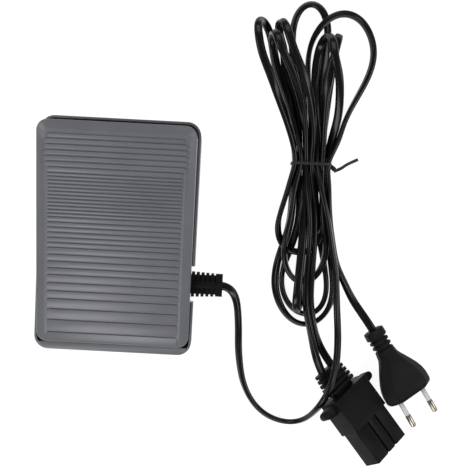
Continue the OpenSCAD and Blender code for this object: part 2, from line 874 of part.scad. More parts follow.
module choke_winding() {
    rim = 1.5;
    color("#a8642f")
        translate([choke_at[0], choke_at[1], board_top + rim + seat_gap])
            difference() {
                cylinder(r = choke_r - 0.8, h = choke_h - 2 * rim - 2 * seat_gap);
                translate([0, 0, -over])
                    cylinder(r = choke_hub_r + seat_gap, h = choke_h + 2 * over);
            }
}

module gate_resistors() {
    body_r = 1.5;
    body_l = 7;
    span = 11;
    wire = 0.35;
    lift = body_r + 0.4;
    color("#b58f5e")
        for (i = [0, 1])
            translate([-9, board_y1 - 5 - 7 * i, board_top + lift])
                union() {
                    rotate([0, 90, 0])
                        cylinder(r = body_r, h = body_l, center = true);
                    rotate([0, 90, 0])
                        cylinder(r = wire, h = span, center = true);
                    for (s = [-1, 1])
                        translate([s * (span / 2 - wire), 0, -lift])
                            cylinder(r = wire, h = lift);
                }
}

module at_terminals() {
    for (s = [-1, 1])
        translate([block_x + s * block_size[0] / 4, block_y, 0])
            children();
}

module terminal_block() {
    color("#3d6b4f")
        difference() {
            translate([block_x - block_size[0] / 2, block_y - block_size[1] / 2, board_top])
                cube(block_size);
            at_terminals() {
                translate([0, 0, board_top + block_size[2] - 4])
                    cylinder(r = 1.9, h = 4 + over);
                translate([0, -block_size[1] / 2 - over, wire_z])
                    rotate([-90, 0, 0])
                        cylinder(r = wire_r + slide_gap, h = over + 3);
            }
        }
}

module terminal_screws() {
    color(steel)
        at_terminals()
            translate([0, 0, board_top + block_size[2] - 4 + seat_gap])
                difference() {
                    cylinder(r = 1.9 - seat_gap, h = 2.4);
                    translate([-3, -0.3, 1.6])
                        cube([6, 0.6, 2]);
                }
}

// Strain relief moulded on the lead: a core with cross ribs, and a flange inside the wall
module strain_relief() {
    core_w = relief_w - 4.2;
    core_h = relief_h - 4;
    web_w = 5;
    tip_l = 4.6;
    tip_w = relief_w - 2;
    round = 1.8;
    pitch = (relief_l - tip_l) / relief_slots;
    slot = 1.2;
    neck_w = slot_w - 2 * seat_gap;
    color(lead_black)
        translate([recess_x, lead_y, lead_z]) {
            rounded_bar(relief_l - root_d, core_w, core_h, round);
            rounded_bar(relief_l - root_d, web_w, relief_h, round);
            for (i = [0 : relief_slots - 1])
                translate([i * pitch, 0, 0])
                    rounded_bar(pitch - slot, relief_w - (relief_w - tip_w) * i / relief_slots,
                        relief_h - 1, round);
            translate([relief_l - tip_l, 0, 0])
                rounded_bar(tip_l, tip_w, relief_h - 1.4, round);
            translate([-base_wall - root_d, 0, 0])
                rounded_bar(base_wall + 2 * root_d, neck_w, neck_w, neck_w / 2 - seat_gap);
            translate([-base_wall - seat_gap - relief_flange_t, 0, 0])
                rounded_bar(relief_flange_t, relief_w - 2, relief_h - 0.4, round);
        }
}

// End of the pedal lead under the clamp
module lead_end() {
    x1 = recess_x - base_wall - seat_gap - relief_flange_t;
    color(lead_black)
        translate([lead_end_x, lead_y, lead_z])
            rounded_bar(x1 - lead_end_x, lead_w, lead_t, lead_t / 2 - 0.1);
}

// Core from the lead end to one side of the terminal block
module core_wire(side) {
    start = [lead_end_x, lead_y + side * lead_w / 4, lead_z];
    goal = [block_x + side * block_size[0] / 4, block_y - block_size[1] / 2 + 2, wire_z];
    bend = [goal[0] + 0.5, (start[1] + goal[1]) / 2 - 1, (lead_z + wire_z) / 2];
    route = [start, start + [-2, 0, 0], bend, goal + [0, -5, 0], goal];
    flat_tube(smooth_route(route, 3), 2 * wire_r, 2 * wire_r, 8);
}

module live_wire() {
    color("#6b4a2f")
        core_wire(1);
}

module neutral_wire() {
    color("#3f5f8f")
        core_wire(-1);
}

module cord_clamp() {
    color("#2f3033")
        difference() {
            translate([clamp_x - clamp_l / 2, lead_y - clamp_w / 2, lead_z - lead_t / 2])
                cube([clamp_l, clamp_w, clamp_top - lead_z + lead_t / 2]);
            translate([clamp_x - clamp_l, lead_y - lead_w / 2 - seat_gap, lead_z - lead_t])
                cube([2 * clamp_l, lead_w + 2 * seat_gap, 1.5 * lead_t + seat_gap]);
            at_clamp_screws()
                translate([0, 0, floor_z])
                    cylinder(r = screw_r + 0.3, h = tall);
        }
}

module clamp_screws() {
    color(steel)
        at_clamp_screws()
            translate([0, 0, floor_z + seat_gap])
                screw(screw_r, clamp_top - floor_z, 2.8, 2);
}

module pedal_lead() {
    color(lead_black)
        translate(cord_shift)
            flat_tube(pedal_route, lead_w, lead_t, 10);
}

module connector_lead_in() {
    color(lead_black)
        translate(cord_shift)
            flat_tube(lead_in_route, lead_w, lead_t, 10);
}

module connector_lead_out() {
    color(lead_black)
        translate(cord_shift)
            flat_tube(lead_out_route, lead_w, lead_t, 10);
}

module plug_lead() {
    color(lead_black)
        translate(cord_shift)
            flat_tube(plug_route, lead_w, lead_t, 10);
}

// Outline of one half of the hank: round ends drawn in to the tied waist
module hank_fan(ends, side) {
    hull() {
        for (e = ends)
            translate([e[0], e[1]])
                circle(e[2], $fn = 32);
        translate([waist_at[0] - waist_w / 2, waist_at[1] + side * (waist_half_l + 4) - 4])
            square([waist_w, 8]);
    }
}

// Section of the tied waist in X and Z
module waist_section(grow) {
    translate([waist_at[0], waist_z0 + waist_h / 2])
        rounded_rect(waist_w + 2 * grow, waist_h + 2 * grow, 5 + grow);
}

module cord_hank() {
    color(lead_black)
        translate(cord_shift) {
            linear_extrude(hank_h)
                hank_fan(upper_fan, 1);
            linear_extrude(hank_h)
                hank_fan(lower_fan, -1);
            translate([0, waist_at[1] + waist_half_l + root_d, 0])
                rotate([90, 0, 0])
                    linear_extrude(2 * (waist_half_l + root_d))
                        waist_section(0);
        }
}

// Twist tie: a band round the waist, the twist beside it and one loose end
module hank_tie() {
    twist_l = 5;
    tail_l = 15;
    x = waist_at[0] + waist_w / 2 + tie_t;
    color(lead_black)
        translate(cord_shift + [0, waist_at[1], 0]) {
            translate([0, tie_w / 2, 0])
                rotate([90, 0, 0])
                    linear_extrude(tie_w)
                        difference() {
                            waist_section(tie_t);
                            waist_section(seat_gap);
                        }
            translate([x - root_d, 0, waist_z0 + waist_h / 2])
                rotate([0, 90, 12])
                    cylinder(r = 1.6, h = twist_l + root_d);
            translate([x + twist_l - 1, 1, waist_z0 + waist_h / 2])
                rotate([0, 90, 12])
                    cylinder(r = 0.8, h = tail_l);
        }
}

// Machine connector, with x along its axis from the cord end
module at_connector() {
    translate(cord_shift + connector_at)
        rotate([0, 0, connector_yaw])
            rotate([connector_roll, 0, 0])
                children();
}

plug3_block_x = plug3_boot_l + plug3_body_l;
contact_r = socket_r + 0.7;
module at_sockets() {
    for (i = [-1 : 1])
        translate([plug3_block_x + plug3_block_l - 0.5 - socket_l, i * socket_pitch, 0])
            rotate([0, 90, 0])
                children();
}

module grip_outline() {
    root = 4.5;
    tip_r = 2.6;
    x = plug3_boot_l + 4.5;
    for (s = [-1, 1]) {
        polygon([[x - root - 1, 0], [x - tip_r, s * (plug3_grip_span / 2 - tip_r)],
            [x + tip_r, s * (plug3_grip_span / 2 - tip_r)], [x + root + 2, 0]]);
        translate([x, s * (plug3_grip_span / 2 - tip_r)])
            circle(tip_r);
    }
}

module connector_body() {
    ribs = 5;
    rib_t = 1.9;
    pitch = plug3_boot_l / (ribs + 0.4);
    boot_w = 24;
    grip_t = 7;
    color(lead_black)
        at_connector() {
            rounded_bar(plug3_boot_l + root_d, boot_w - 5, 6.6, 2.5);
            for (i = [0 : ribs - 1])
                translate([i * pitch, 0, 0])
                    rounded_bar(rib_t, boot_w - 2 + 0.7 * i, 8.2 + 0.5 * i, 3);
            translate([0, 0, -grip_t / 2])
                linear_extrude(grip_t)
                    grip_outline();
            translate([plug3_boot_l, 0, 0])
                rounded_bar(plug3_body_l, plug3_w, plug3_t, 1.6);
        }
}

// Socket block: three lobes parted by keyways on the top face
module connector_block() {
    key_w = 1.8;
    key_d = 1.6;
    block_t = plug3_t - 4;
    color(lead_black)
        at_connector()
            difference() {
                translate([plug3_block_x, 0, 0])
                    rounded_bar(plug3_block_l, plug3_w - 1.5, block_t, 1.2);
                for (s = [-1, 1])
                    translate([plug3_block_x - over, s * socket_pitch / 2 - key_w / 2, block_t / 2 - key_d])
                        cube([plug3_block_l + 2 * over, key_w, 2 * key_d]);
                at_sockets()
                    translate([0, 0, -plug3_block_l])
                        cylinder(r = contact_r + fit_gap, h = plug3_block_l + socket_l + over);
            }
}

module connector_contacts() {
    color(brass)
        at_connector()
            at_sockets()
                difference() {
                    cylinder(r = contact_r, h = socket_l);
                    translate([0, 0, -over])
                        cylinder(r = socket_r, h = socket_l + 2 * over);
                }
}

// Mains plug, with x along its axis from the cord end
module at_plug() {
    translate(cord_shift + plug_at)
        rotate([0, 0, plug_yaw])
            rotate([plug_roll, 0, 0])
                children();
}

plug_front_x = plug_boot_l + plug_body_l;
pin_root = 8;
sleeve_r = pin_r - 0.3;
core_r = pin_r - 0.7;
module at_pins() {
    for (s = [-1, 1])
        translate([plug_front_x, s * pin_pitch / 2, 0])
            rotate([0, 90, 0])
                children();
}

// Outline of the plug body: a neck that flares out to the front, drawn in by inset at the sides
plug_side = [[0, 6.4], [5, 7], [11, 9.4], [17, 12.8], [22, plug_w / 2 - 2.2], [27, plug_w / 2],
    [plug_body_l - 3, plug_w / 2], [plug_body_l - 1.2, plug_w / 2 - 1], [plug_body_l, plug_w / 2 - 4]];
module plug_outline(inset) {
    side = [for (p = plug_side) [p[0] + plug_boot_l, p[1] - inset]];
    polygon(concat(side, [for (i = [len(side) - 1 : -1 : 0]) [side[i][0], -side[i][1]]]));
}

module plug_body() {
    collar = [6, 13.8, 10.5];
    ring_t = 1.9;
    ring_pitch = 3.4;
    bevel = 5.8;
    rim_t = 5;
    color(lead_black)
        at_plug()
            difference() {
                union() {
                    rounded_bar(plug_boot_l + root_d, 9.4, 7.4, 3);
                    rounded_bar(collar[0], collar[1], collar[2], 3.6);
                    for (i = [0 : 2])
                        translate([collar[0] + 1.5 + i * ring_pitch, 0, 0])
                            rounded_bar(ring_t, 12.8 - 0.2 * i, 9.6, 3.4);
                    translate([0, 0, -rim_t / 2])
                        linear_extrude(rim_t)
                            plug_outline(0);
                    translate([0, 0, -rim_t / 2 - (plug_t - rim_t) / 4])
                        linear_extrude((plug_t + rim_t) / 2)
                            plug_outline(bevel / 3);
                    translate([0, 0, -plug_t / 2])
                        linear_extrude(plug_t)
                            plug_outline(bevel);
                }
                at_pins()
                    translate([0, 0, -pin_root])
                        cylinder(r = core_r + seat_gap, h = pin_root + over);
            }
}

module plug_pins() {
    tip = 1;
    color(steel)
        at_plug()
            at_pins() {
                translate([0, 0, -pin_root + seat_gap])
                    cylinder(r = core_r, h = pin_root + sleeve_l);
                translate([0, 0, sleeve_l])
                    cylinder(r = pin_r, h = pin_l - sleeve_l - tip);
                translate([0, 0, pin_l - tip])
                    cylinder(r1 = pin_r, r2 = pin_r - tip, h = tip);
            }
}

module pin_sleeves() {
    color("#d9d8dc")
        at_plug()
            at_pins()
                difference() {
                    cylinder(r = sleeve_r, h = sleeve_l - seat_gap);
                    translate([0, 0, -over])
                        cylinder(r = core_r + fit_gap, h = sleeve_l + 2 * over);
                }
}

base_tray();
rubber_feet();
tread();
hinge_axle();
axle_clips();
stop_pads();
return_springs();
circuit_board();
board_screws();
control_guide();
resistor_track();
control_plunger();
wiper_contact();
plunger_spring();
heat_sink();
triac();
triac_screw();
suppressor_capacitor();
choke_core();
choke_winding();
gate_resistors();
terminal_block();
terminal_screws();
strain_relief();
lead_end();
live_wire();
neutral_wire();
cord_clamp();
clamp_screws();
pedal_lead();
cord_hank();
hank_tie();
connector_lead_in();
connector_lead_out();
plug_lead();
connector_body();
connector_block();
connector_contacts();
plug_body();
plug_pins();
pin_sleeves();
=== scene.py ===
import json
import math
import bmesh
import bpy
import numpy as np
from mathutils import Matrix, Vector


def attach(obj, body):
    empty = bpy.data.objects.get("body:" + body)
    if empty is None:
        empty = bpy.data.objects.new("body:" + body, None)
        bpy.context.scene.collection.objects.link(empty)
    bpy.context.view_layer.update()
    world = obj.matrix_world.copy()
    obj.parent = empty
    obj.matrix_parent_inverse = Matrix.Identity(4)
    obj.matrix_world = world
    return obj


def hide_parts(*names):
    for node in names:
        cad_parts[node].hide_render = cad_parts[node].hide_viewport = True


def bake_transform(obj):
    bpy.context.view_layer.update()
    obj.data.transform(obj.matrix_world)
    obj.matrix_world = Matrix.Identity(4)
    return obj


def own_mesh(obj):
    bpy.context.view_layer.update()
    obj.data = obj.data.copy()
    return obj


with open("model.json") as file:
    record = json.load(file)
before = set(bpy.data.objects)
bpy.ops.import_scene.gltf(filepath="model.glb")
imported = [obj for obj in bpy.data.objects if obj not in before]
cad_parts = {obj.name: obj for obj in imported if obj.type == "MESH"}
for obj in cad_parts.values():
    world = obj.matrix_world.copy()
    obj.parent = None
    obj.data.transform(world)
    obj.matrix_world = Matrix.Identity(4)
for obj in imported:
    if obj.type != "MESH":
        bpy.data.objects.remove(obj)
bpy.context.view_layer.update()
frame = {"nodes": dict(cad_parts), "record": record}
nodes = frame["nodes"]
scene = bpy.context.scene
mm = 0.001
weld = 2e-6  # points nearer than this, in metres, become one
print("frame loaded,", len(nodes), "nodes")


# Camera straight above, turned a little, as the photograph was taken
cameraSetup = {"x": 64.2, "y": 4.5, "height": 600, "turn": 3.0, "lens": 67.25, "sensor": 36.0,
               "shift": 0.0426, "near": 0.01, "far": 20}
cameraData = bpy.data.cameras.new("studioCamera")
cameraData.lens = cameraSetup["lens"]
cameraData.sensor_width = cameraSetup["sensor"]
cameraData.shift_x = cameraSetup["shift"]
cameraData.clip_start = cameraSetup["near"]
cameraData.clip_end = cameraSetup["far"]
camera = bpy.data.objects.new("studioCamera", cameraData)
camera.location = (cameraSetup["x"] * mm, cameraSetup["y"] * mm, cameraSetup["height"] * mm)
camera.rotation_euler = (0, 0, math.radians(cameraSetup["turn"]))
scene.collection.objects.link(camera)
scene.camera = camera
scene.view_settings.view_transform = "Standard"
print("camera set")


def linear(hexColour):
    # sRGB hex to linear red, green, blue and alpha
    srgb = np.array([int(hexColour[i:i + 2], 16) for i in (1, 3, 5)]) / 255
    rgb = np.where(srgb <= 0.04045, srgb / 12.92, ((srgb + 0.055) / 1.055) ** 2.4)
    return (*rgb.tolist(), 1.0)


def addNode(tree, kind, inputs=None, **settings):
    # one node, its settings, and its inputs as values or as sockets to link from
    node = tree.nodes.new(kind)
    for key, value in settings.items():
        setattr(node, key, value)
    for key, value in (inputs or {}).items():
        if isinstance(value, bpy.types.NodeSocket):
            tree.links.new(value, node.inputs[key])
        else:
            node.inputs[key].default_value = value
    return node


# detail of the noise, and the part of its range that the gloss follows
noise = {"cloudDetail": 3.0, "grainDetail": 2.0, "low": 0.3, "high": 0.7}


def makeFinish(name, spec):
    # cloudy colour between two tones, uneven gloss and a fine moulded or worked grain, all sized in mm
    material = bpy.data.materials.new(name)
    material.use_nodes = True
    tree = material.node_tree
    tree.nodes.clear()
    place = addNode(tree, "ShaderNodeTexCoord").outputs["Object"]
    if "stretch" in spec:
        place = addNode(tree, "ShaderNodeMapping",
                        {"Vector": place, "Scale": spec["stretch"]}).outputs["Vector"]
    cloud = addNode(tree, "ShaderNodeTexNoise",
                    {"Vector": place, "Scale": 1000 / spec["cloudMm"],
                     "Detail": noise["cloudDetail"]}).outputs["Fac"]
    grain = addNode(tree, "ShaderNodeTexNoise",
                    {"Vector": place, "Scale": 1000 / spec["grainMm"],
                     "Detail": noise["grainDetail"]}).outputs["Fac"]
    tone = addNode(tree, "ShaderNodeMix", {0: cloud, 6: linear(spec["dark"]), 7: linear(spec["light"])},
                   data_type="RGBA").outputs[2]
    gloss = addNode(tree, "ShaderNodeMapRange",
                    {"Value": cloud, "From Min": noise["low"], "From Max": noise["high"],
                     "To Min": spec["rough"] - spec["roughSpread"],
                     "To Max": spec["rough"] + spec["roughSpread"]}).outputs["Result"]
    bump = addNode(tree, "ShaderNodeBump", {"Height": grain, "Strength": spec["grainStrength"],
                                            "Distance": spec["grainDepthMm"] * mm}).outputs["Normal"]
    shader = addNode(tree, "ShaderNodeBsdfPrincipled",
                     {"Base Color": tone, "Roughness": gloss, "Normal": bump,
                      "Metallic": spec.get("metallic", 0.0)})
    for key, socket in (("ior", "IOR"), ("shine", "Specular IOR Level")):
        if key in spec:
            shader.inputs[socket].default_value = spec[key]
    addNode(tree, "ShaderNodeOutputMaterial", {"Surface": shader.outputs["BSDF"]})
    return material


finishes = {
    # ABS shell moulded in a satin-eroded tool: soft even sheen with a fine grain
    "absSatinMoulded": {
        "dark": "#68696f", "light": "#727378", "cloudMm": 18, "grainMm": 0.7, "grainDepthMm": 0.05,
        "grainStrength": 0.25, "rough": 0.36, "roughSpread": 0.04, "ior": 1.53},
    # PVC lead extruded smooth: black with a narrow shine along its length
    "pvcLeadExtruded": {
        "dark": "#0b0b0c", "light": "#111113", "cloudMm": 14, "grainMm": 0.8, "grainDepthMm": 0.03,
        "grainStrength": 0.15, "rough": 0.22, "roughSpread": 0.04, "ior": 1.53, "shine": 0.26},
    # PVC moulded over the lead ends in a matt tool: its fine pits leave only a dull sheen
    "pvcMouldedMatt": {
        "dark": "#0f0f10", "light": "#161617", "cloudMm": 9, "grainMm": 0.6, "grainDepthMm": 0.06,
        "grainStrength": 0.35, "rough": 0.5, "roughSpread": 0.06, "ior": 1.53, "shine": 0.1},
    # glass-filled polyamide moulded hard: as black as the soft PVC with a slightly tighter sheen
    "polyamideBlackMoulded": {
        "dark": "#0f0f10", "light": "#151516", "cloudMm": 6, "grainMm": 0.5, "grainDepthMm": 0.04,
        "grainStrength": 0.3, "rough": 0.45, "roughSpread": 0.06, "ior": 1.53, "shine": 0.1},
    # steel wire in a ribbed black PVC coat: greyer and duller than the lead it ties
    "pvcTieCoated": {
        "dark": "#1f1e1d", "light": "#2b2a28", "cloudMm": 3, "grainMm": 0.5, "grainDepthMm": 0.06,
        "grainStrength": 0.3, "rough": 0.5, "roughSpread": 0.06, "ior": 1.53, "shine": 0.3},
    # natural rubber pressed: matt and slightly dusty
    "rubberPressed": {
        "dark": "#1d1d1f", "light": "#2b2b2d", "cloudMm": 4, "grainMm": 0.8, "grainDepthMm": 0.08,
        "grainStrength": 0.4, "rough": 0.82, "roughSpread": 0.06, "ior": 1.52},
    # mild steel drawn and zinc plated: greyish mirror broken by fine scratches
    "steelZincPlated": {
        "dark": "#a9acb1", "light": "#c8cbd0", "cloudMm": 3, "grainMm": 0.4, "grainDepthMm": 0.02,
        "grainStrength": 0.2, "rough": 0.34, "roughSpread": 0.08, "metallic": 1.0},
    # phenolic paper laminate pressed: brown, mottled and waxy
    "phenolicPaperPressed": {
        "dark": "#7a5c30", "light": "#937445", "cloudMm": 5, "grainMm": 0.9, "grainDepthMm": 0.03,
        "grainStrength": 0.2, "rough": 0.5, "roughSpread": 0.06, "ior": 1.55},
    # acetal moulded white: milky with a soft shine
    "acetalMoulded": {
        "dark": "#d2d1d3", "light": "#dfdee1", "cloudMm": 7, "grainMm": 0.6, "grainDepthMm": 0.02,
        "grainStrength": 0.2, "rough": 0.4, "roughSpread": 0.04, "ior": 1.48},
    # polyester film box dipped in yellow: smooth and glossy
    "polyesterBoxDipped": {
        "dark": "#b99f3f", "light": "#cbb355", "cloudMm": 6, "grainMm": 0.8, "grainDepthMm": 0.02,
        "grainStrength": 0.15, "rough": 0.32, "roughSpread": 0.05, "ior": 1.55},
    # polyamide terminal moulded green: even colour with a soft sheen
    "polyamideGreenMoulded": {
        "dark": "#355f45", "light": "#42745a", "cloudMm": 5, "grainMm": 0.6, "grainDepthMm": 0.03,
        "grainStrength": 0.2, "rough": 0.45, "roughSpread": 0.05, "ior": 1.53},
    # alumina strip with a printed track: chalky and pale
    "aluminaPrinted": {
        "dark": "#cfc8b9", "light": "#ded8cb", "cloudMm": 2, "grainMm": 0.5, "grainDepthMm": 0.02,
        "grainStrength": 0.2, "rough": 0.6, "roughSpread": 0.05, "ior": 1.6},
    # ferrite sintered: dark grey, dull, slightly porous
    "ferriteSintered": {
        "dark": "#313134", "light": "#434346", "cloudMm": 2, "grainMm": 0.4, "grainDepthMm": 0.05,
        "grainStrength": 0.4, "rough": 0.6, "roughSpread": 0.06, "ior": 2.0},
    # copper wire enamelled and wound in turns of 0.5 mm: grooves run round the coil
    "copperEnamelledWound": {
        "dark": "#8f5226", "light": "#b9713a", "cloudMm": 3, "grainMm": 1.0, "grainDepthMm": 0.12,
        "grainStrength": 0.6, "rough": 0.32, "roughSpread": 0.05, "metallic": 0.8,
        "stretch": (0.02, 0.02, 2.0)},
    # carbon film resistor lacquered tan: smooth and slightly glossy
    "resistorLacquered": {
        "dark": "#a9834f", "light": "#bd986a", "cloudMm": 2, "grainMm": 0.5, "grainDepthMm": 0.02,
        "grainStrength": 0.2, "rough": 0.4, "roughSpread": 0.05, "ior": 1.5},
    # aluminium extruded: fine streaks along the draw
    "aluminiumExtruded": {
        "dark": "#a3a6ab", "light": "#b9bcc1", "cloudMm": 2, "grainMm": 0.5, "grainDepthMm": 0.02,
        "grainStrength": 0.3, "rough": 0.38, "roughSpread": 0.06, "metallic": 1.0,
        "stretch": (1.0, 1.0, 0.08)},
    # brass strip stamped: warm, half bright
    "brassStamped": {
        "dark": "#a98845", "light": "#c4a45c", "cloudMm": 2, "grainMm": 0.4, "grainDepthMm": 0.02,
        "grainStrength": 0.2, "rough": 0.3, "roughSpread": 0.06, "metallic": 1.0},
    # brass pin nickel plated and tumbled: a warm grey shine with faint wear
    "brassNickelPlated": {
        "dark": "#9a9286", "light": "#b2aa9e", "cloudMm": 3, "grainMm": 0.5, "grainDepthMm": 0.01,
        "grainStrength": 0.15, "rough": 0.28, "roughSpread": 0.06, "metallic": 1.0},
    # PVC core insulation, brown and blue: smooth with a soft sheen
    "pvcCoreBrown": {
        "dark": "#5c3e26", "light": "#71502f", "cloudMm": 3, "grainMm": 0.5, "grainDepthMm": 0.02,
        "grainStrength": 0.15, "rough": 0.4, "roughSpread": 0.05, "ior": 1.53},
    "pvcCoreBlue": {
        "dark": "#36527d", "light": "#466897", "cloudMm": 3, "grainMm": 0.5, "grainDepthMm": 0.02,
        "grainStrength": 0.15, "rough": 0.4, "roughSpread": 0.05, "ior": 1.53},
}
finish = {name: makeFinish(name, spec) for name, spec in finishes.items()}

# the CAD nodes that stay in view take their finish by the record's material slot
slotFinish = {
    "grey_plastic": "absSatinMoulded", "black_rubber": "rubberPressed", "steel": "steelZincPlated",
    "board": "phenolicPaperPressed", "black_plastic": "polyamideBlackMoulded",
    "white_plastic": "acetalMoulded", "yellow_plastic": "polyesterBoxDipped",
    "green_plastic": "polyamideGreenMoulded",
    "ceramic_track": "aluminaPrinted", "ferrite": "ferriteSintered", "copper": "copperEnamelledWound",
    "tan_lacquer": "resistorLacquered", "aluminium": "aluminiumExtruded", "brass": "brassStamped",
    "nickel": "brassNickelPlated", "cord_black": "pvcMouldedMatt", "tie_black": "pvcTieCoated",
    "brown_wire": "pvcCoreBrown", "blue_wire": "pvcCoreBlue"}
for part in frame["record"]["subparts"]:
    mesh = nodes[part["node"]].data
    mesh.materials.clear()
    mesh.materials.append(finish[slotFinish[part["material_slot"]]])
print("finishes made:", len(finish))


def gridFaces(rows, cols, wrapRows, wrapCols, first):
    # four-sided faces of a grid of points numbered row by row
    r = np.arange(rows if wrapRows else rows - 1)[:, None]
    c = np.arange(cols if wrapCols else cols - 1)[None, :]
    r2, c2 = (r + 1) % rows, (c + 1) % cols
    corners = np.stack([r * cols + c, r * cols + c2, r2 * cols + c2, r2 * cols + c], -1)
    return (corners + first).reshape(-1, 4)


def makePiece(name, sheets, material, sharpDegrees=40):
    # sheets are grids of points in mm with two flags, whether the rows and the columns close on themselves
    points, faces, first = [], [], 0
    for grid, wrapRows, wrapCols in sheets:
        rows, cols = grid.shape[:2]
        points.append(grid.reshape(-1, 3) * mm)
        faces.append(gridFaces(rows, cols, wrapRows, wrapCols, first))
        first += rows * cols
    points, faces = np.concatenate(points), np.concatenate(faces)
    mesh = bpy.data.meshes.new(name)
    mesh.vertices.add(len(points))
    mesh.vertices.foreach_set("co", points.ravel())
    mesh.loops.add(faces.size)
    mesh.loops.foreach_set("vertex_index", faces.ravel())
    mesh.polygons.add(len(faces))
    mesh.polygons.foreach_set("loop_start", np.arange(0, faces.size, 4))
    mesh.update(calc_edges=True)
    work = bmesh.new()
    work.from_mesh(mesh)
    bmesh.ops.remove_doubles(work, verts=work.verts, dist=weld)  # closes seams and poles
    bmesh.ops.recalc_face_normals(work, faces=work.faces)
    work.to_mesh(mesh)
    work.free()
    mesh.polygons.foreach_set("use_smooth", np.ones(len(mesh.polygons), bool))
    mesh.set_sharp_from_angle(angle=math.radians(sharpDegrees))
    mesh.materials.append(material)
    piece = bpy.data.objects.new(name, mesh)
    scene.collection.objects.link(piece)
    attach(piece, "base")
    return piece


def unit(v):
    return v / np.maximum(np.linalg.norm(v, axis=-1, keepdims=True), 1e-12)


def smoothThrough(points, step):
    # natural cubic curve through the points over their chord length, resampled at equal steps
    p = np.asarray(points, float)
    s = np.concatenate([[0], np.cumsum(np.linalg.norm(np.diff(p[:, :3], axis=0), axis=1))])
    h = np.diff(s)
    n = len(p)
    system = np.eye(n)
    i = np.arange(1, n - 1)
    system[i, i - 1], system[i, i], system[i, i + 1] = h[:-1], 2 * (h[:-1] + h[1:]), h[1:]
    slope = np.diff(p, axis=0) / h[:, None]
    right = np.zeros_like(p)
    right[1:-1] = 6 * np.diff(slope, axis=0)
    bend = np.linalg.solve(system, right)

    def at(q):
        k = np.clip(np.searchsorted(s, q, side="right") - 1, 0, n - 2)
        a, b, d = (q - s[k])[:, None], (s[k + 1] - q)[:, None], h[k][:, None]
        return ((bend[k] * b ** 3 + bend[k + 1] * a ** 3) / (6 * d) + (p[k] / d - bend[k] * d / 6) * b
                + (p[k + 1] / d - bend[k + 1] * d / 6) * a)

    fineStep = 0.5
    fine = at(np.linspace(0, s[-1], int(s[-1] / fineStep) + 2))
    run = np.concatenate([[0], np.cumsum(np.linalg.norm(np.diff(fine[:, :3], axis=0), axis=1))])
    even = np.linspace(0, run[-1], int(round(run[-1] / step)) + 1)
    return np.stack([np.interp(even, run, fine[:, c]) for c in range(fine.shape[1])], -1)


# Two flat twin leads, in mm. A lead bends across its thin side, so it stands on edge in level loops
# and lies flat in upright folds. Each point may carry a fourth number, its share of standing on edge.
lead = {"wide": 5.6, "thin": 3.5, "sides": 10, "step": 2.0, "steepBelow": 0.35,
        "shift": (0.4, 2.1, 0.0)}
# the tie's seven places side by side, each with a lower and an upper strand; a fold starts to turn flat
# at flatFrom from the tie and is flat after flatOver more
waist = {"x": 126.0, "y": 53.5, "places": 7, "pitch": 3.55, "lower": 4.3, "upper": 10.0,
         "flatFrom": 12, "flatOver": 55}
# pushing the strands apart: lengths in mm, shares for each round, and counts of points along a lead
settling = {"step": 3.0, "rounds": 300, "pairEvery": 10, "nearMm": 9, "sameStrand": 12, "heldHead": 12,
            "heldTail": 7, "heldAtTie": 2.5, "reachShare": 0.55, "leastSquare": 0.05, "pushShare": 0.22,
            "mostPush": 0.6, "keep": 0.998, "air": 0.06, "floorAir": 0.05, "easeRounds": 5,
            "easeShare": 0.22}


def foldCap(start, end, out):
    # half circle from one strand to the other over the end of a fold, bulging the way that out points
    start, end, out = np.array(start, float), np.array(end, float), np.array([*out, 0.0])
    middle, half = (start + end) / 2, (end - start) / 2
    turns = np.radians([-90, -55, -18, 18, 55, 90])
    return [tuple(middle + half * math.sin(t) + out * np.linalg.norm(half) * math.cos(t)) for t in turns]


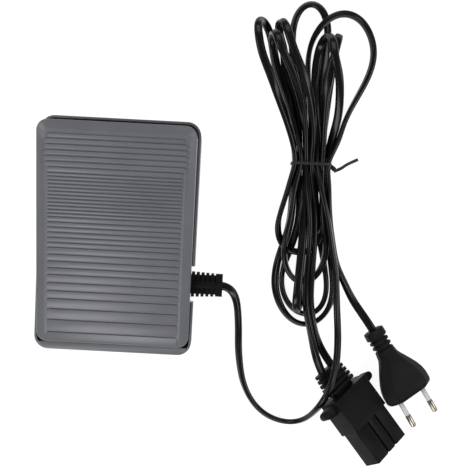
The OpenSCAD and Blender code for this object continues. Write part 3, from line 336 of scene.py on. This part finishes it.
loops = {
    # upper loops, from one place in the tie to another
    "T1": ("fold", "0U", "0L", [
        (112.4, 68, 11.8), (107.6, 81, 14.6), (101, 96, 17.6), (93.6, 113, 20.2), (88, 125.5, 21.8),
        *foldCap((85.4, 137, 22.4), (95.6, 137.4, 2.2), (-0.24, 0.97)),
        (97.4, 128, 2.2), (100.6, 116, 2.2), (105.2, 103, 2.4), (110.8, 86, 2.8), (114, 70, 3.4)]),
    "T2": ("fold", "1L", "3U", [
        (118, 75, 3), (111.6, 98, 2.6), (105.9, 116, 3.4), (104.3, 124, 4), (103.7, 131.5, 5),
        *foldCap((100.4, 138.6, 6), (104.8, 138.4, 24.6), (-0.3, 0.95)),
        (109.1, 127, 23.8), (116, 113.5, 21.8), (122, 98, 19), (125.4, 82, 15.2), (126.6, 68, 12.2)]),
    "T3": ("fold", "1U", "2U", [
        (115.4, 75, 8), (107.8, 98, 6.8), (100.4, 116, 6.4),
        *foldCap((96.6, 130.4, 6.4), (98.8, 131.8, 25), (-0.22, 0.97)),
        (105.4, 120, 22.4), (112, 106.5, 18.6), (117.4, 91, 14.8), (120.6, 75, 12.2)]),
    "T4": ("level", "2L", "4L", [
        (121.6, 75, 3.4), (119.2, 98, 4, 0.6), (114.6, 114, 4.6, 0.45), (110.2, 128, 4.8, 0.4),
        (109.2, 142, 4.2, 0.6), (110.2, 150.4, 3.8, 0.6), (112.6, 157, 4.2, 0.6),
        (116.6, 161.6, 4.6, 0.6), (121.4, 163.2, 5, 0.55), (126.2, 161.4, 4.8, 0.45),
        (130.4, 156.2, 4.2, 0.35), (132.8, 149, 3.2, 0.35), (133.4, 141, 2.6, 0.4),
        (132.3, 126, 2.6, 0.25), (130.9, 110, 2.8, 0.5), (130.6, 96, 3), (130, 75, 3.6)]),
    "T5": ("level", "3L", "6U", [
        (124.8, 72, 3.6), (123.2, 92, 3), (121.6, 110, 3), (120.6, 126, 4), (124, 140.5, 6.5, 0.8),
        (131, 150.4, 9, 0.7), (143.5, 156.6, 7.5, 0.7), (154.5, 153.5, 5, 0.75), (162, 144, 3.5, 0.75),
        (165.2, 132, 3.2, 0.75), (163.4, 119.5, 3.2, 0.75), (158, 107, 3.4, 0.8), (152, 96, 4, 0.9),
        (146, 84, 5.4), (141, 70, 8)]),
    "T6": ("fold", "4U", "6L", [
        (130, 72, 8.6), (127.8, 92, 6), (126.6, 108, 4.4), (126.6, 120, 4),
        *foldCap((127.4, 127, 4), (135.6, 126.6, 26.4), (0.06, 0.99)),
        (139.6, 113, 26, 0), (141.6, 101, 22.4, 0), (142.6, 89, 17.4, 0.05), (141.8, 76, 11.6, 0.15),
        (139, 64, 6.8, 0.6)]),
    "T7": ("fold", "5U", "5L", [
        (132.6, 70, 12.6), (132, 90, 15.6), (132.6, 104, 17.6), (134.6, 117, 19.6),
        *foldCap((136.6, 131, 21.4), (138.6, 131.6, 2.2), (0.2, 0.97)),
        (136.8, 118, 2.2), (135.4, 104, 2.4), (134.4, 90, 2.8), (133.4, 70, 3.6)]),
    # lower loops
    "B1": ("level", "0U", "6L", [
        (113.4, 43, 9.2), (110.8, 32.1, 8.4), (107.4, 20.2, 7.8), (105.8, 10, 7.6, 0.7),
        (107.8, 0.8, 7.6, 0.55), (112.6, -4.9, 7.4, 0.5), (119.5, -6.7, 7, 0.6), (127, -5, 6.8, 0.6),
        (133, 1.3, 6.4, 0.7), (136.4, 13.3, 5), (137, 30.3, 3.8)]),
    "B2": ("level", "1U", "5U", [
        (116, 43, 10.6), (114.3, 28.7, 11.2), (112.7, 11.9, 12), (110.4, -3.2, 12.6, 0.8),
        (111.9, -14.9, 9.6, 0.8), (116.6, -23.1, 7, 0.85), (123.6, -27.4, 6, 0.85), (130.2, -25, 6, 0.85),
        (135.7, -17.9, 6.5, 0.85), (138.5, -8.5, 7.5, 0.85), (137.4, 4.9, 8.7), (135, 21.6, 9.8),
        (133.8, 41, 10)]),
    "B3": ("level", "0L", "5L", [
        (115.2, 42, 3.6, 0.8), (115.6, 28, 2.8, 0.5), (114.8, 13, 2.7, 0.4), (111.4, -1, 2.7, 0.4),
        (108.2, -10.6, 2.8, 0.55), (106.9, -19, 2.9, 0.45), (106.5, -28, 2.9, 0.4),
        (108.7, -38.2, 2.9, 0.5), (113.7, -47.6, 3.1, 0.7), (121, -54, 3.2, 0.85),
        (128.4, -55.6, 3.2, 0.85), (135.4, -53.2, 3.2, 0.85), (141.8, -46.4, 3.2, 0.85),
        (145.2, -37, 3, 0.6), (145.3, -26, 2.9, 0.5), (143.2, -12.5, 2.9, 0.5), (140.4, 4.5, 3, 0.6),
        (137.2, 20, 3.2, 0.7), (134.6, 38, 3.8)]),
    "B4": ("level", "1L", "4L", [
        (119, 42, 3.6, 0.8), (120.2, 28, 2.8, 0.5), (119.6, 13, 2.7, 0.4), (116, -0.5, 2.7, 0.4),
        (112.8, -10, 2.8, 0.6), (110.5, -18, 3.2, 0.95), (110, -26, 3.3, 1), (111.7, -34.6, 3.3, 0.95),
        (115.9, -41.8, 3.2, 0.85), (121.8, -46.8, 3.2, 0.85), (128.4, -48.6, 3.2, 0.85),
        (135, -46.8, 3.2, 0.85), (139.8, -41, 3.2, 0.85), (142.1, -32, 3.2, 0.85), (141, -19.4, 3.2, 0.8),
        (137.6, -3.9, 3, 0.6), (133.6, 20.5, 3, 0.5), (131, 40, 4)]),
    "Bv": ("fold", "2L", "3L", [
        (122.6, 42, 7), (123, 25, 11), (122.8, 8.3, 15.6), (121.6, -10.7, 19.2),
        *foldCap((119.8, -35.6, 22), (124.2, -35.6, 2.2), (-0.08, -0.99)),
        (125.6, -18, 2.2), (126, 4.3, 2.6), (125.8, 26, 3.2), (126, 40, 4)]),
}
# free ends, to the pedal, the connector and the plug
pedalRun = [
    (66.5, -31, 12.5, 0), (70.5, -31, 12.5, 0), (73.6, -31.2, 12.4, 0), (76.4, -32.6, 11.9, 0.05),
    (78.6, -35.8, 10.9, 0.2), (80.5, -40.6, 9, 0.4), (81.7, -46.5, 6.8, 0.5), (82.7, -55.8, 4.4, 0.5),
    (83.3, -64, 3, 0.5), (83.5, -71, 2.9, 0.5), (84.8, -82, 2.9, 0.6), (87.5, -95, 3, 0.75),
    (93, -106.5, 3, 0.85), (101, -115.4, 3, 0.85), (111, -120.4, 3.8, 0.85), (120.6, -121.4, 6.2, 0.85),
    (127.8, -119, 10.6, 0.8), (133.2, -113.4, 18.2, 0.7), (137.6, -105.4, 28, 0.55),
    (141.8, -97, 31.6, 0.5), (145, -88, 30.6, 0.5), (147.3, -78, 26.6, 0.5), (148.4, -67, 21.4, 0.5),
    (148.5, -56, 17, 0.5), (147.7, -44, 14.6, 0.55), (146.7, -31.9, 14.6, 0.6),
    (144.9, -15.4, 15.4, 0.65), (142.2, -3.1, 16, 0.7), (138.9, 13.3, 16, 0.8), (135.6, 25.5, 15.8, 0.9),
    (132, 38.5, 14, 1)]
machineRunIn = [
    (124, 38, 12.6), (126, 21, 14.5), (126.8, 4.4, 15), (126.4, -20.6, 13.5, 0.8),
    (126.4, -33.2, 12.5, 0.75), (127.2, -41.5, 12, 0.75), (128.8, -49.8, 12.2, 0.75),
    (130.8, -58, 13, 0.75), (133, -68, 15.2, 0.6), (135.8, -77.6, 18.5, 0.35), (139.2, -84.8, 20.3, 0.3)]
machineRunOut = [
    (145.5, -79.6, 14.6, 0.3), (142, -75.1, 13.4, 0.25), (137.6, -68, 11.4, 0.4),
    (134.8, -59.6, 10, 0.75), (132.4, -50.4, 9.4, 0.75), (130.7, -41.5, 9.4, 0.75),
    (129.9, -33.2, 9.8, 0.75), (129.9, -20.6, 10.8, 0.8), (130.3, 4.5, 12), (129.5, 21.2, 12.2),
    (127.6, 38, 11.6)]
plugRun = [
    (137.6, 40, 10.2), (138, 26, 10.4), (139.6, 13, 10.4), (142.6, 0, 10.4), (146.4, -14.5, 10.6, 0.9),
    (151.1, -23.2, 8.8, 0.7), (156, -32, 7, 0.5), (161, -39.6, 6.8, 0.3), (165.2, -45, 8, 0.2),
    (169.2, -50.4, 9.3, 0.1), (173, -55.8, 9.6, 0)]
leadOrder = {
    "pedalLead": (pedalRun, ["T6", "-B1", "T1", "B3", "-T7", "-B2", "T3"], machineRunIn),
    "mainsLead": (machineRunOut, ["-T2", "B4", "-T4", "Bv", "T5"], plugRun)}


def tiePlace(code):
    # a code is the place from the left and U or L for upper or lower
    middle = (waist["places"] - 1) / 2
    return (waist["x"] + (int(code[0]) - middle) * waist["pitch"], waist["y"],
            waist["lower"] if code[1] == "L" else waist["upper"], 1.0)


def withEdge(points):
    return [(*p, 1.0) if len(p) == 3 else tuple(p) for p in points]


def leadPoints(head, order, tail):
    # strings a lead's runs together; an upright fold lies flat at its far end and turns on edge at the tie
    route = withEdge(head)
    for code in order:
        kind, start, end, points = loops[code.strip("-")]
        if kind == "fold":
            far = [math.hypot(p[0] - waist["x"], p[1] - waist["y"]) for p in points]
            share = [min(max(1 - (f - waist["flatFrom"]) / waist["flatOver"], 0), 1) for f in far]
            points = [p if len(p) == 4 else (*p, e) for p, e in zip(points, share)]
        run = withEdge(points)
        if code[0] == "-":
            start, end, run = end, start, run[::-1]
        if route[-1] != tiePlace(start):
            route.append(tiePlace(start))
        route += run + [tiePlace(end)]
    return np.array(route + withEdge(tail)) + (*lead["shift"], 0)


def sectionAxes(path):
    # wide and thin directions: flat is level and square to the run, on edge is turned a quarter round it
    along = unit(np.gradient(path[:, :3], axis=0))
    level = np.cross([0, 0, 1.0], along)
    steep = np.linalg.norm(level, axis=1) < lead["steepBelow"]
    good = np.flatnonzero(~steep)
    signed = unit(level[good])
    flips = np.cumprod(np.where(np.sum(signed[1:] * signed[:-1], axis=1) < 0, -1, 1))
    signed = signed * np.concatenate([[1], flips])[:, None]
    # through an upright fold the level direction is carried across
    level = np.stack([np.interp(np.arange(len(path)), good, signed[:, c]) for c in range(3)], -1)
    level = unit(level - np.sum(level * along, axis=1, keepdims=True) * along)
    upright = np.cross(along, level)
    turn = path[:, 3:4] * math.pi / 2
    wide = np.cos(turn) * level + np.sin(turn) * upright
    flips = np.cumprod(np.where(np.sum(wide[1:] * wide[:-1], axis=1) < 0, -1, 1))
    wide *= np.concatenate([[1], flips])[:, None]
    return along, wide, np.cross(along, wide)


def reach(wide, direction):
    # how far the lead's section reaches from its middle in a direction
    flatHalf = (lead["wide"] - lead["thin"]) / 2
    return flatHalf * np.abs(np.sum(wide * direction, axis=1)) + lead["thin"] / 2


def settle(paths):
    # pushes crossing and touching turns apart and up off the ground, and keeps each lead smooth
    counts = [len(p) for p in paths]
    start = np.concatenate([p[:, :3] for p in paths])
    axes = [sectionAxes(p) for p in paths]
    along = np.concatenate([a[0] for a in axes])
    wide = np.concatenate([a[1] for a in axes])
    owner = np.repeat(np.arange(len(paths)), counts)
    order = np.concatenate([np.arange(c) for c in counts])
    held = np.abs(start[:, 1] - waist["y"] - lead["shift"][1]) < settling["heldAtTie"]
    free = (~held).astype(float)[:, None]
    ends = (order < settling["heldHead"]) | (order > np.repeat(counts, counts) - settling["heldTail"])
    free[ends] = 0
    moved = np.zeros_like(start)
    up = np.tile([0, 0, 1.0], (len(start), 1))
    floorGap = reach(wide, up)
    half = settling["step"] * settling["reachShare"]
    for roundNo in range(settling["rounds"]):
        now = start + moved
        if roundNo % settling["pairEvery"] == 0:
            apart = np.linalg.norm(now[:, None] - now[None], axis=2)
            other = np.abs(order[:, None] - order[None]) > settling["sameStrand"]
            near = (apart < settling["nearMm"]) & ((owner[:, None] != owner[None]) | other)
            a, b = np.nonzero(np.triu(near))
        gap = now[b] - now[a]
        ta, tb = along[a], along[b]
        mix = np.sum(ta * tb, axis=1)
        ga, gb = np.sum(gap * ta, axis=1), np.sum(gap * tb, axis=1)
        square = np.maximum(1 - mix ** 2, settling["leastSquare"])
        sa = np.clip((ga - mix * gb) / square, -half, half)
        sb = np.clip(mix * sa - gb, -half, half)
        gap = gap + sb[:, None] * tb - sa[:, None] * ta
        length = np.linalg.norm(gap, axis=1)
        push = unit(gap)
        short = np.maximum(reach(wide[a], push) + reach(wide[b], push) + settling["air"] - length, 0)
        step = (settling["pushShare"] * short)[:, None] * push
        shift = np.zeros_like(start)
        np.add.at(shift, a, -step)
        np.add.at(shift, b, step)
        moved += np.clip(shift, -settling["mostPush"], settling["mostPush"]) * free
        first = 0
        for c in counts:  # spread each push along the lead
            part = moved[first:first + c]
            part[1:-1] = 0.25 * part[:-2] + 0.5 * part[1:-1] + 0.25 * part[2:]
            first += c
        moved *= settling["keep"] * free
        low = np.maximum(floorGap + settling["floorAir"] - (start + moved)[:, 2], 0)
        moved[:, 2] += low * free[:, 0]
    worst = np.sort(short)[::-1][:5]
    print("leads settled, largest overlaps left", np.round(worst, 2), "of", len(short), "near pairs")
    parts, first = [], 0
    for p, c in zip(paths, counts):
        now = (start + moved)[first:first + c]
        for _ in range(settling["easeRounds"]):  # eases the tightest bends
            now[1:-1] += settling["easeShare"] * (now[:-2] + now[2:] - 2 * now[1:-1])
        parts.append(np.column_stack([now, p[:, 3]]))
        first += c
    return parts


def leadSection():
    # flat twin section: two half circles joined by straight sides
    turn = np.radians(np.linspace(-90, 90, lead["sides"]))
    r, shift = lead["thin"] / 2, (lead["wide"] - lead["thin"]) / 2
    right = np.stack([shift + r * np.cos(turn), r * np.sin(turn)], -1)
    return np.concatenate([right, -right])


def tubeSheet(path, wide, thin, section):
    # a section carried along a path, with a point at each end that closes it
    rings = (path[:, None, :] + section[None, :, :1] * wide[:, None, :]
             + section[None, :, 1:] * thin[:, None, :])
    cap = np.ones((1, len(section), 1))
    return (np.concatenate([path[:1, None] * cap, rings, path[-1:, None] * cap]), False, True)


rough = [smoothThrough(leadPoints(*parts), settling["step"]) for parts in leadOrder.values()]
leadPaths = dict(zip(leadOrder, [smoothThrough(p, lead["step"]) for p in settle(rough)]))
leadPieces, leadLengths = {}, {}
for name, path in leadPaths.items():
    along, wide, thin = sectionAxes(path)
    leadPieces[name] = makePiece(name, [tubeSheet(path[:, :3], wide, thin, leadSection())],
                                 finish["pvcLeadExtruded"])
    move = np.diff(path[:, :3], axis=0)
    leadLengths[name] = float(np.linalg.norm(move, axis=1).sum())
    bendLine = np.linalg.norm(np.cross(move[:-1], move[1:]), axis=1)
    bendRadius = lead["step"] ** 3 / np.maximum(bendLine, 1e-6)
    tight = np.argsort(bendRadius)[:4]
    print(name, "is", round(leadLengths[name]), "mm long, tightest bends", np.round(bendRadius[tight], 1),
          "at", np.round(path[tight + 1, :3]).tolist())
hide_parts("pedal_lead", "cord_hank", "connector_lead_in")
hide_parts("connector_lead_out", "plug_lead")


# faces flatter to each other than flatDegrees are joined, and edges sharper than overDegrees are rounded
mouldedEdge = {"flatDegrees": 0.8, "overDegrees": 25, "segments": 2}


def mergedCopy(nodeName, name, spec, body, joinFlat):
    # a copy of a CAD piece with its loose triangles merged, and its flat faces joined up where asked
    mesh = nodes[nodeName].data.copy()
    mesh.name = name
    work = bmesh.new()
    work.from_mesh(mesh)
    bmesh.ops.remove_doubles(work, verts=work.verts, dist=weld)
    if joinFlat:
        bmesh.ops.dissolve_limit(work, angle_limit=math.radians(mouldedEdge["flatDegrees"]),
                                 verts=work.verts, edges=work.edges)
    work.to_mesh(mesh)
    work.free()
    mesh.polygons.foreach_set("use_smooth", np.ones(len(mesh.polygons), bool))
    mesh.materials.clear()
    mesh.materials.append(finish[spec["finish"]])
    piece = bpy.data.objects.new(name, mesh)
    scene.collection.objects.link(piece)
    if body:
        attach(piece, body)
    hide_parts(nodeName)
    return piece


def softened(name, spec):
    # a merged copy whose edges are rounded as a mould leaves them
    piece = mergedCopy(spec["node"], name, spec, spec.get("body", "base"), True)
    edge = piece.modifiers.new("mouldedEdge", "BEVEL")
    edge.width = spec["edgeMm"] * mm
    edge.segments = mouldedEdge["segments"]
    edge.limit_method = "ANGLE"
    edge.angle_limit = math.radians(spec.get("overDegrees", mouldedEdge["overDegrees"]))
    edge.harden_normals = True
    return piece


shells = {
    "ribbedTread": {"node": "tread", "body": "tread_body", "finish": "absSatinMoulded",
                    "slot": "grey_plastic", "edgeMm": 0.4, "overDegrees": 13},
    "trayShell": {"node": "base_tray", "finish": "absSatinMoulded", "slot": "grey_plastic", "edgeMm": 0.5},
    "rubberFeetPressed": {"node": "rubber_feet", "finish": "rubberPressed", "slot": "black_rubber",
                          "edgeMm": 0.5},
    "strainReliefMoulded": {"node": "strain_relief", "finish": "pvcMouldedMatt", "slot": "cord_black",
                            "edgeMm": 0.3},
    "connectorOvermould": {"node": "connector_body", "finish": "pvcMouldedMatt", "slot": "cord_black",
                           "edgeMm": 0.5},
    "connectorSocketBlock": {"node": "connector_block", "finish": "polyamideBlackMoulded",
                             "slot": "black_plastic", "edgeMm": 0.3},
    "plugPinsTurned": {"node": "plug_pins", "finish": "brassNickelPlated", "slot": "nickel", "edgeMm": 0.2},
    "pinSleevesMoulded": {"node": "pin_sleeves", "finish": "acetalMoulded", "slot": "white_plastic",
                          "edgeMm": 0.15},
}
shell = {name: softened(name, spec) for name, spec in shells.items()}
print("moulded shells softened")

# Coil springs: merged copies of the two return springs and of the plunger's spring, smooth between sharp
# edges. Heights in mm.
springs = {"finish": "steelZincPlated", "slot": "steel", "sharpDegrees": 60, "returnLow": 8.2,
           "returnHigh": 31.8, "plungerLow": 21.1, "plungerKeep": 0.52}
returnSprings = mergedCopy("return_springs", "returnSpringsWound", springs, None, False)
plungerSpring = mergedCopy("plunger_spring", "plungerSpringWound", springs, "base", False)
for coil in (returnSprings, plungerSpring):
    coil.data.set_sharp_from_angle(angle=math.radians(springs["sharpDegrees"]))
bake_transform(returnSprings)
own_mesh(plungerSpring)
print("springs made")


def roundedSection(corners, radius, perCorner):
    # outline of a convex polygon whose corners are arcs, which take up no more than a share of a side
    sideShare = 0.45
    c = np.asarray(corners, float)
    toLast, toNext = np.roll(c, 1, 0) - c, np.roll(c, -1, 0) - c
    before, after = unit(toLast), unit(toNext)
    half = np.arccos(np.clip(np.sum(before * after, axis=1), -1, 1)) / 2
    sides = np.minimum(np.linalg.norm(toLast, axis=1), np.linalg.norm(toNext, axis=1))
    r = np.minimum(radius, sideShare * sides * np.tan(half))
    points = []
    for i in range(len(c)):
        middle = c[i] + unit(before[i] + after[i]) * r[i] / math.sin(half[i])
        start = c[i] + before[i] * r[i] / math.tan(half[i]) - middle
        end = c[i] + after[i] * r[i] / math.tan(half[i]) - middle
        for t in np.linspace(0, 1, perCorner):
            p = unit(start * (1 - t) + end * t) * r[i]
            points.append(middle + p)
    return np.array(points)


# Mains plug: bevelled sections carried along its axis, from the ringed collar through the neck to the front.
# Each station holds x, half width, half height, width of the side bevel and half height of its edge, in mm.
plug = {"at": (173.4, -53.7, 9.6), "yaw": -56.5, "roll": -16.0, "radius": 1.2, "perCorner": 5,
        "sharpDegrees": 38, "stations": [
    (0, 5.6, 4.0, 2.2, 2.0), (0.5, 6.7, 5.0, 2.4, 2.6), (5.4, 6.9, 5.2, 2.4, 2.6),
    (6, 6.4, 4.8, 2.2, 2.4), (6.1, 4.9, 3.9, 1.8, 1.9), (7.3, 4.9, 3.9, 1.8, 1.9),
    (7.4, 6, 4.5, 2.2, 2.2), (7.8, 6.4, 4.8, 2.2, 2.4), (9.1, 6.4, 4.8, 2.2, 2.4),
    (9.5, 6, 4.5, 2.2, 2.2), (9.6, 4.9, 3.9, 1.8, 1.9), (10.8, 4.9, 3.9, 1.8, 1.9),
    (10.9, 6, 4.5, 2.2, 2.2), (11.3, 6.4, 4.8, 2.2, 2.4), (12.6, 6.4, 4.8, 2.2, 2.4),
    (13, 6, 4.5, 2.2, 2.2), (13.1, 4.9, 3.9, 1.8, 1.9), (14.3, 4.9, 3.9, 1.8, 1.9),
    (14.4, 5.8, 4.4, 2.2, 2.2), (14.8, 6.2, 4.8, 2.2, 2.4), (17, 6.5, 5, 2.4, 2.4),
    (20, 7.1, 5.3, 2.8, 2.3), (23, 8.7, 5.7, 3.6, 2.2), (26, 10.6, 6.1, 4.4, 2.1), (30, 13, 6.4, 5.2, 2),
    (34, 15.2, 6.5, 5.6, 2), (38, 16.8, 6.5, 5.8, 2), (42, 17.6, 6.5, 5.8, 2), (46, 17.65, 6.5, 5.8, 2),
    (47.5, 17.6, 6.5, 5.8, 2), (48.5, 17.15, 6.4, 5.6, 2), (49.3, 16.6, 6.3, 5.4, 2),
    (50, 15, 6.1, 4.8, 2), (50.5, 13.6, 5.6, 4.2, 2.1)]}


def placed(points, place, turnDegrees, rollDegrees):
    # points of a piece in its own axes, rolled about x, turned about z and moved
    a, b = math.radians(turnDegrees), math.radians(rollDegrees)
    roll = np.array([[1, 0, 0], [0, math.cos(b), -math.sin(b)], [0, math.sin(b), math.cos(b)]])
    turn = np.array([[math.cos(a), -math.sin(a), 0], [math.sin(a), math.cos(a), 0], [0, 0, 1]])
    return points @ (turn @ roll).T + place


rings = []
for x, w, h, bevel, edge in plug["stations"]:
    corners = [(w, -edge), (w, edge), (w - bevel, h), (-w + bevel, h),
               (-w, edge), (-w, -edge), (-w + bevel, -h), (w - bevel, -h)]
    outline = roundedSection(corners, plug["radius"], plug["perCorner"])
    rings.append(np.column_stack([np.full(len(outline), x), outline]))
rings = np.array(rings)
shut = [np.repeat(rings[k].mean(axis=0)[None], rings.shape[1], axis=0)[None] for k in (0, -1)]
plugGrid = placed(np.concatenate([shut[0], rings, shut[1]]), plug["at"], plug["yaw"], plug["roll"])
plugBody = makePiece("plugBodyMoulded", [(plugGrid, False, True)], finish["pvcMouldedMatt"],
                     plug["sharpDegrees"])
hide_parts("plug_body")
print("plug made")


# Twist tie: a flat coated wire that goes round the waist of the hank, twists on itself and ends in a
# loose tail
tie = {"wide": 2.2, "thick": 1.2, "sides": 12, "flatness": 0.7, "lean": (0.15, 1.0, 0.1), "sharpDegrees": 60,
       "gap": 0.75, "low": 1.4, "height": 11.6, "corner": 4.0, "perCorner": 9, "step": 0.6, "floorAir": 0.05,
       "twistTurns": 1.5, "twistRadius": 0.75, "twistStep": 0.25, "twistEvery": 4,
       "twist": [(139.6, 52.6, 7.2), (141.4, 51.2, 6.6), (143.4, 50, 6)],
       "tail": [(146.2, 51.6, 4.8), (150.2, 54.4, 3.4), (154.4, 56.8, 2), (158.4, 58.8, 1.15)]}
half = (waist["places"] / 2 * waist["pitch"] + tie["gap"], tie["height"] / 2 + tie["gap"])
ring = roundedSection([(half[0], -half[1]), (half[0], half[1]), (-half[0], half[1]), (-half[0], -half[1])],
                      tie["corner"], tie["perCorner"])
# starts at the upper right corner and ends at the lower right one
ring = np.roll(ring, -tie["perCorner"], axis=0)
loop = np.column_stack([ring[:, 0] + waist["x"], np.full(len(ring), waist["y"]),
                        ring[:, 1] + tie["low"] + tie["height"] / 2])
twistLine = smoothThrough(tie["twist"], tie["twistStep"])
along = unit(np.gradient(twistLine, axis=0))
side = unit(np.cross(along, [0, 0, 1.0]))
angle = np.linspace(0, 2 * math.pi * tie["twistTurns"], len(twistLine))[:, None]
around = tie["twistRadius"] * (np.cos(angle) * np.cross(side, along) + np.sin(angle) * side)
strandUp, strandDown = twistLine + around, twistLine - around
tieRoute = np.concatenate([tie["tail"][::-1], strandUp[::-tie["twistEvery"]], loop,
                           strandDown[::tie["twistEvery"]]])
tieRoute[:, 2] = np.maximum(tieRoute[:, 2], tie["wide"] / 2 + tie["floorAir"])
tiePath = smoothThrough(tieRoute + np.array(lead["shift"]), tie["step"])
tieAlong = unit(np.gradient(tiePath, axis=0))
tieWide = np.tile(tie["lean"], (len(tiePath), 1))
tieWide = unit(tieWide - np.sum(tieWide * tieAlong, axis=1, keepdims=True) * tieAlong)
turn = np.linspace(0, 2 * math.pi, tie["sides"], endpoint=False)
tieSection = np.stack([np.sign(np.cos(turn)) * np.abs(np.cos(turn)) ** tie["flatness"] * tie["wide"] / 2,
                       np.sin(turn) * tie["thick"] / 2], -1)
tiePiece = makePiece("twistTie", [tubeSheet(tiePath, tieWide, np.cross(tieAlong, tieWide), tieSection)],
                     finish["pvcTieCoated"], tie["sharpDegrees"])
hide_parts("hank_tie")
print("tie made")


# Pale table and soft studio light. The paper lights the part as a plain sheet does, and looks white to
# the camera and in reflections.
studio = {"tableHalf": 3.0, "paper": "#e6e6e6", "paperSeen": "#8c8c8c", "glow": 0.93, "room": 0.2,
          "backdrop": 1.0, "aim": (0.06, 0.0, 0.0)}
floorSize = studio["tableHalf"]
floorMesh = bpy.data.meshes.new("table")
floorMesh.from_pydata([(-floorSize, -floorSize, 0), (floorSize, -floorSize, 0), (floorSize, floorSize, 0),
                       (-floorSize, floorSize, 0)], [], [(0, 1, 2, 3)])
table = bpy.data.objects.new("table", floorMesh)
scene.collection.objects.link(table)
paper = bpy.data.materials.new("paperSweepWhite")
paper.use_nodes = True
tree = paper.node_tree
tree.nodes.clear()
ray = addNode(tree, "ShaderNodeLightPath")
seen = addNode(tree, "ShaderNodeMath", {0: ray.outputs["Is Camera Ray"], 1: ray.outputs["Is Glossy Ray"]},
               operation="MAXIMUM")
seen = addNode(tree, "ShaderNodeMath", {0: seen.outputs[0], 1: ray.outputs["Is Transmission Ray"]},
               operation="MAXIMUM")
sheet = addNode(tree, "ShaderNodeBsdfDiffuse", {"Color": linear(studio["paper"])})
shade = addNode(tree, "ShaderNodeBsdfDiffuse", {"Color": linear(studio["paperSeen"])})
glow = addNode(tree, "ShaderNodeEmission", {"Color": linear("#ffffff"), "Strength": studio["glow"]})
bright = addNode(tree, "ShaderNodeAddShader", {0: shade.outputs[0], 1: glow.outputs[0]})
paperMix = addNode(tree, "ShaderNodeMixShader",
                   {0: seen.outputs[0], 1: sheet.outputs[0], 2: bright.outputs[0]})
addNode(tree, "ShaderNodeOutputMaterial", {"Surface": paperMix.outputs[0]})
floorMesh.materials.append(paper)

world = bpy.data.worlds.new("studioWorld")
scene.world = world
world.use_nodes = True
tree = world.node_tree
tree.nodes.clear()
ray = addNode(tree, "ShaderNodeLightPath")
room = addNode(tree, "ShaderNodeBackground", {"Color": linear("#ffffff"), "Strength": studio["room"]})
white = addNode(tree, "ShaderNodeBackground", {"Color": linear("#ffffff"), "Strength": studio["backdrop"]})
worldMix = addNode(tree, "ShaderNodeMixShader",
                   {0: ray.outputs["Is Camera Ray"], 1: room.outputs[0], 2: white.outputs[0]})
addNode(tree, "ShaderNodeOutputWorld", {"Surface": worldMix.outputs[0]})

lamps = {
    "softboxFront": {"place": (-0.1, -0.9, 0.85), "size": 0.6, "watts": 5.6},
    "softboxLeft": {"place": (-0.85, 0.0, 0.85), "size": 0.5, "watts": 3.2},
    "softboxRight": {"place": (0.95, 0.1, 0.75), "size": 0.5, "watts": 3.8},
    "softboxBack": {"place": (0.1, 0.95, 0.8), "size": 0.6, "watts": 2.2},
}
for name, lamp in lamps.items():
    data = bpy.data.lights.new(name, "AREA")
    data.shape, data.size, data.energy = "SQUARE", lamp["size"], lamp["watts"]
    box = bpy.data.objects.new(name, data)
    box.location = lamp["place"]
    aim = Vector(studio["aim"]) - Vector(lamp["place"])
    box.rotation_euler = aim.to_track_quat("-Z", "Y").to_euler()
    scene.collection.objects.link(box)
print("table and lamps set")
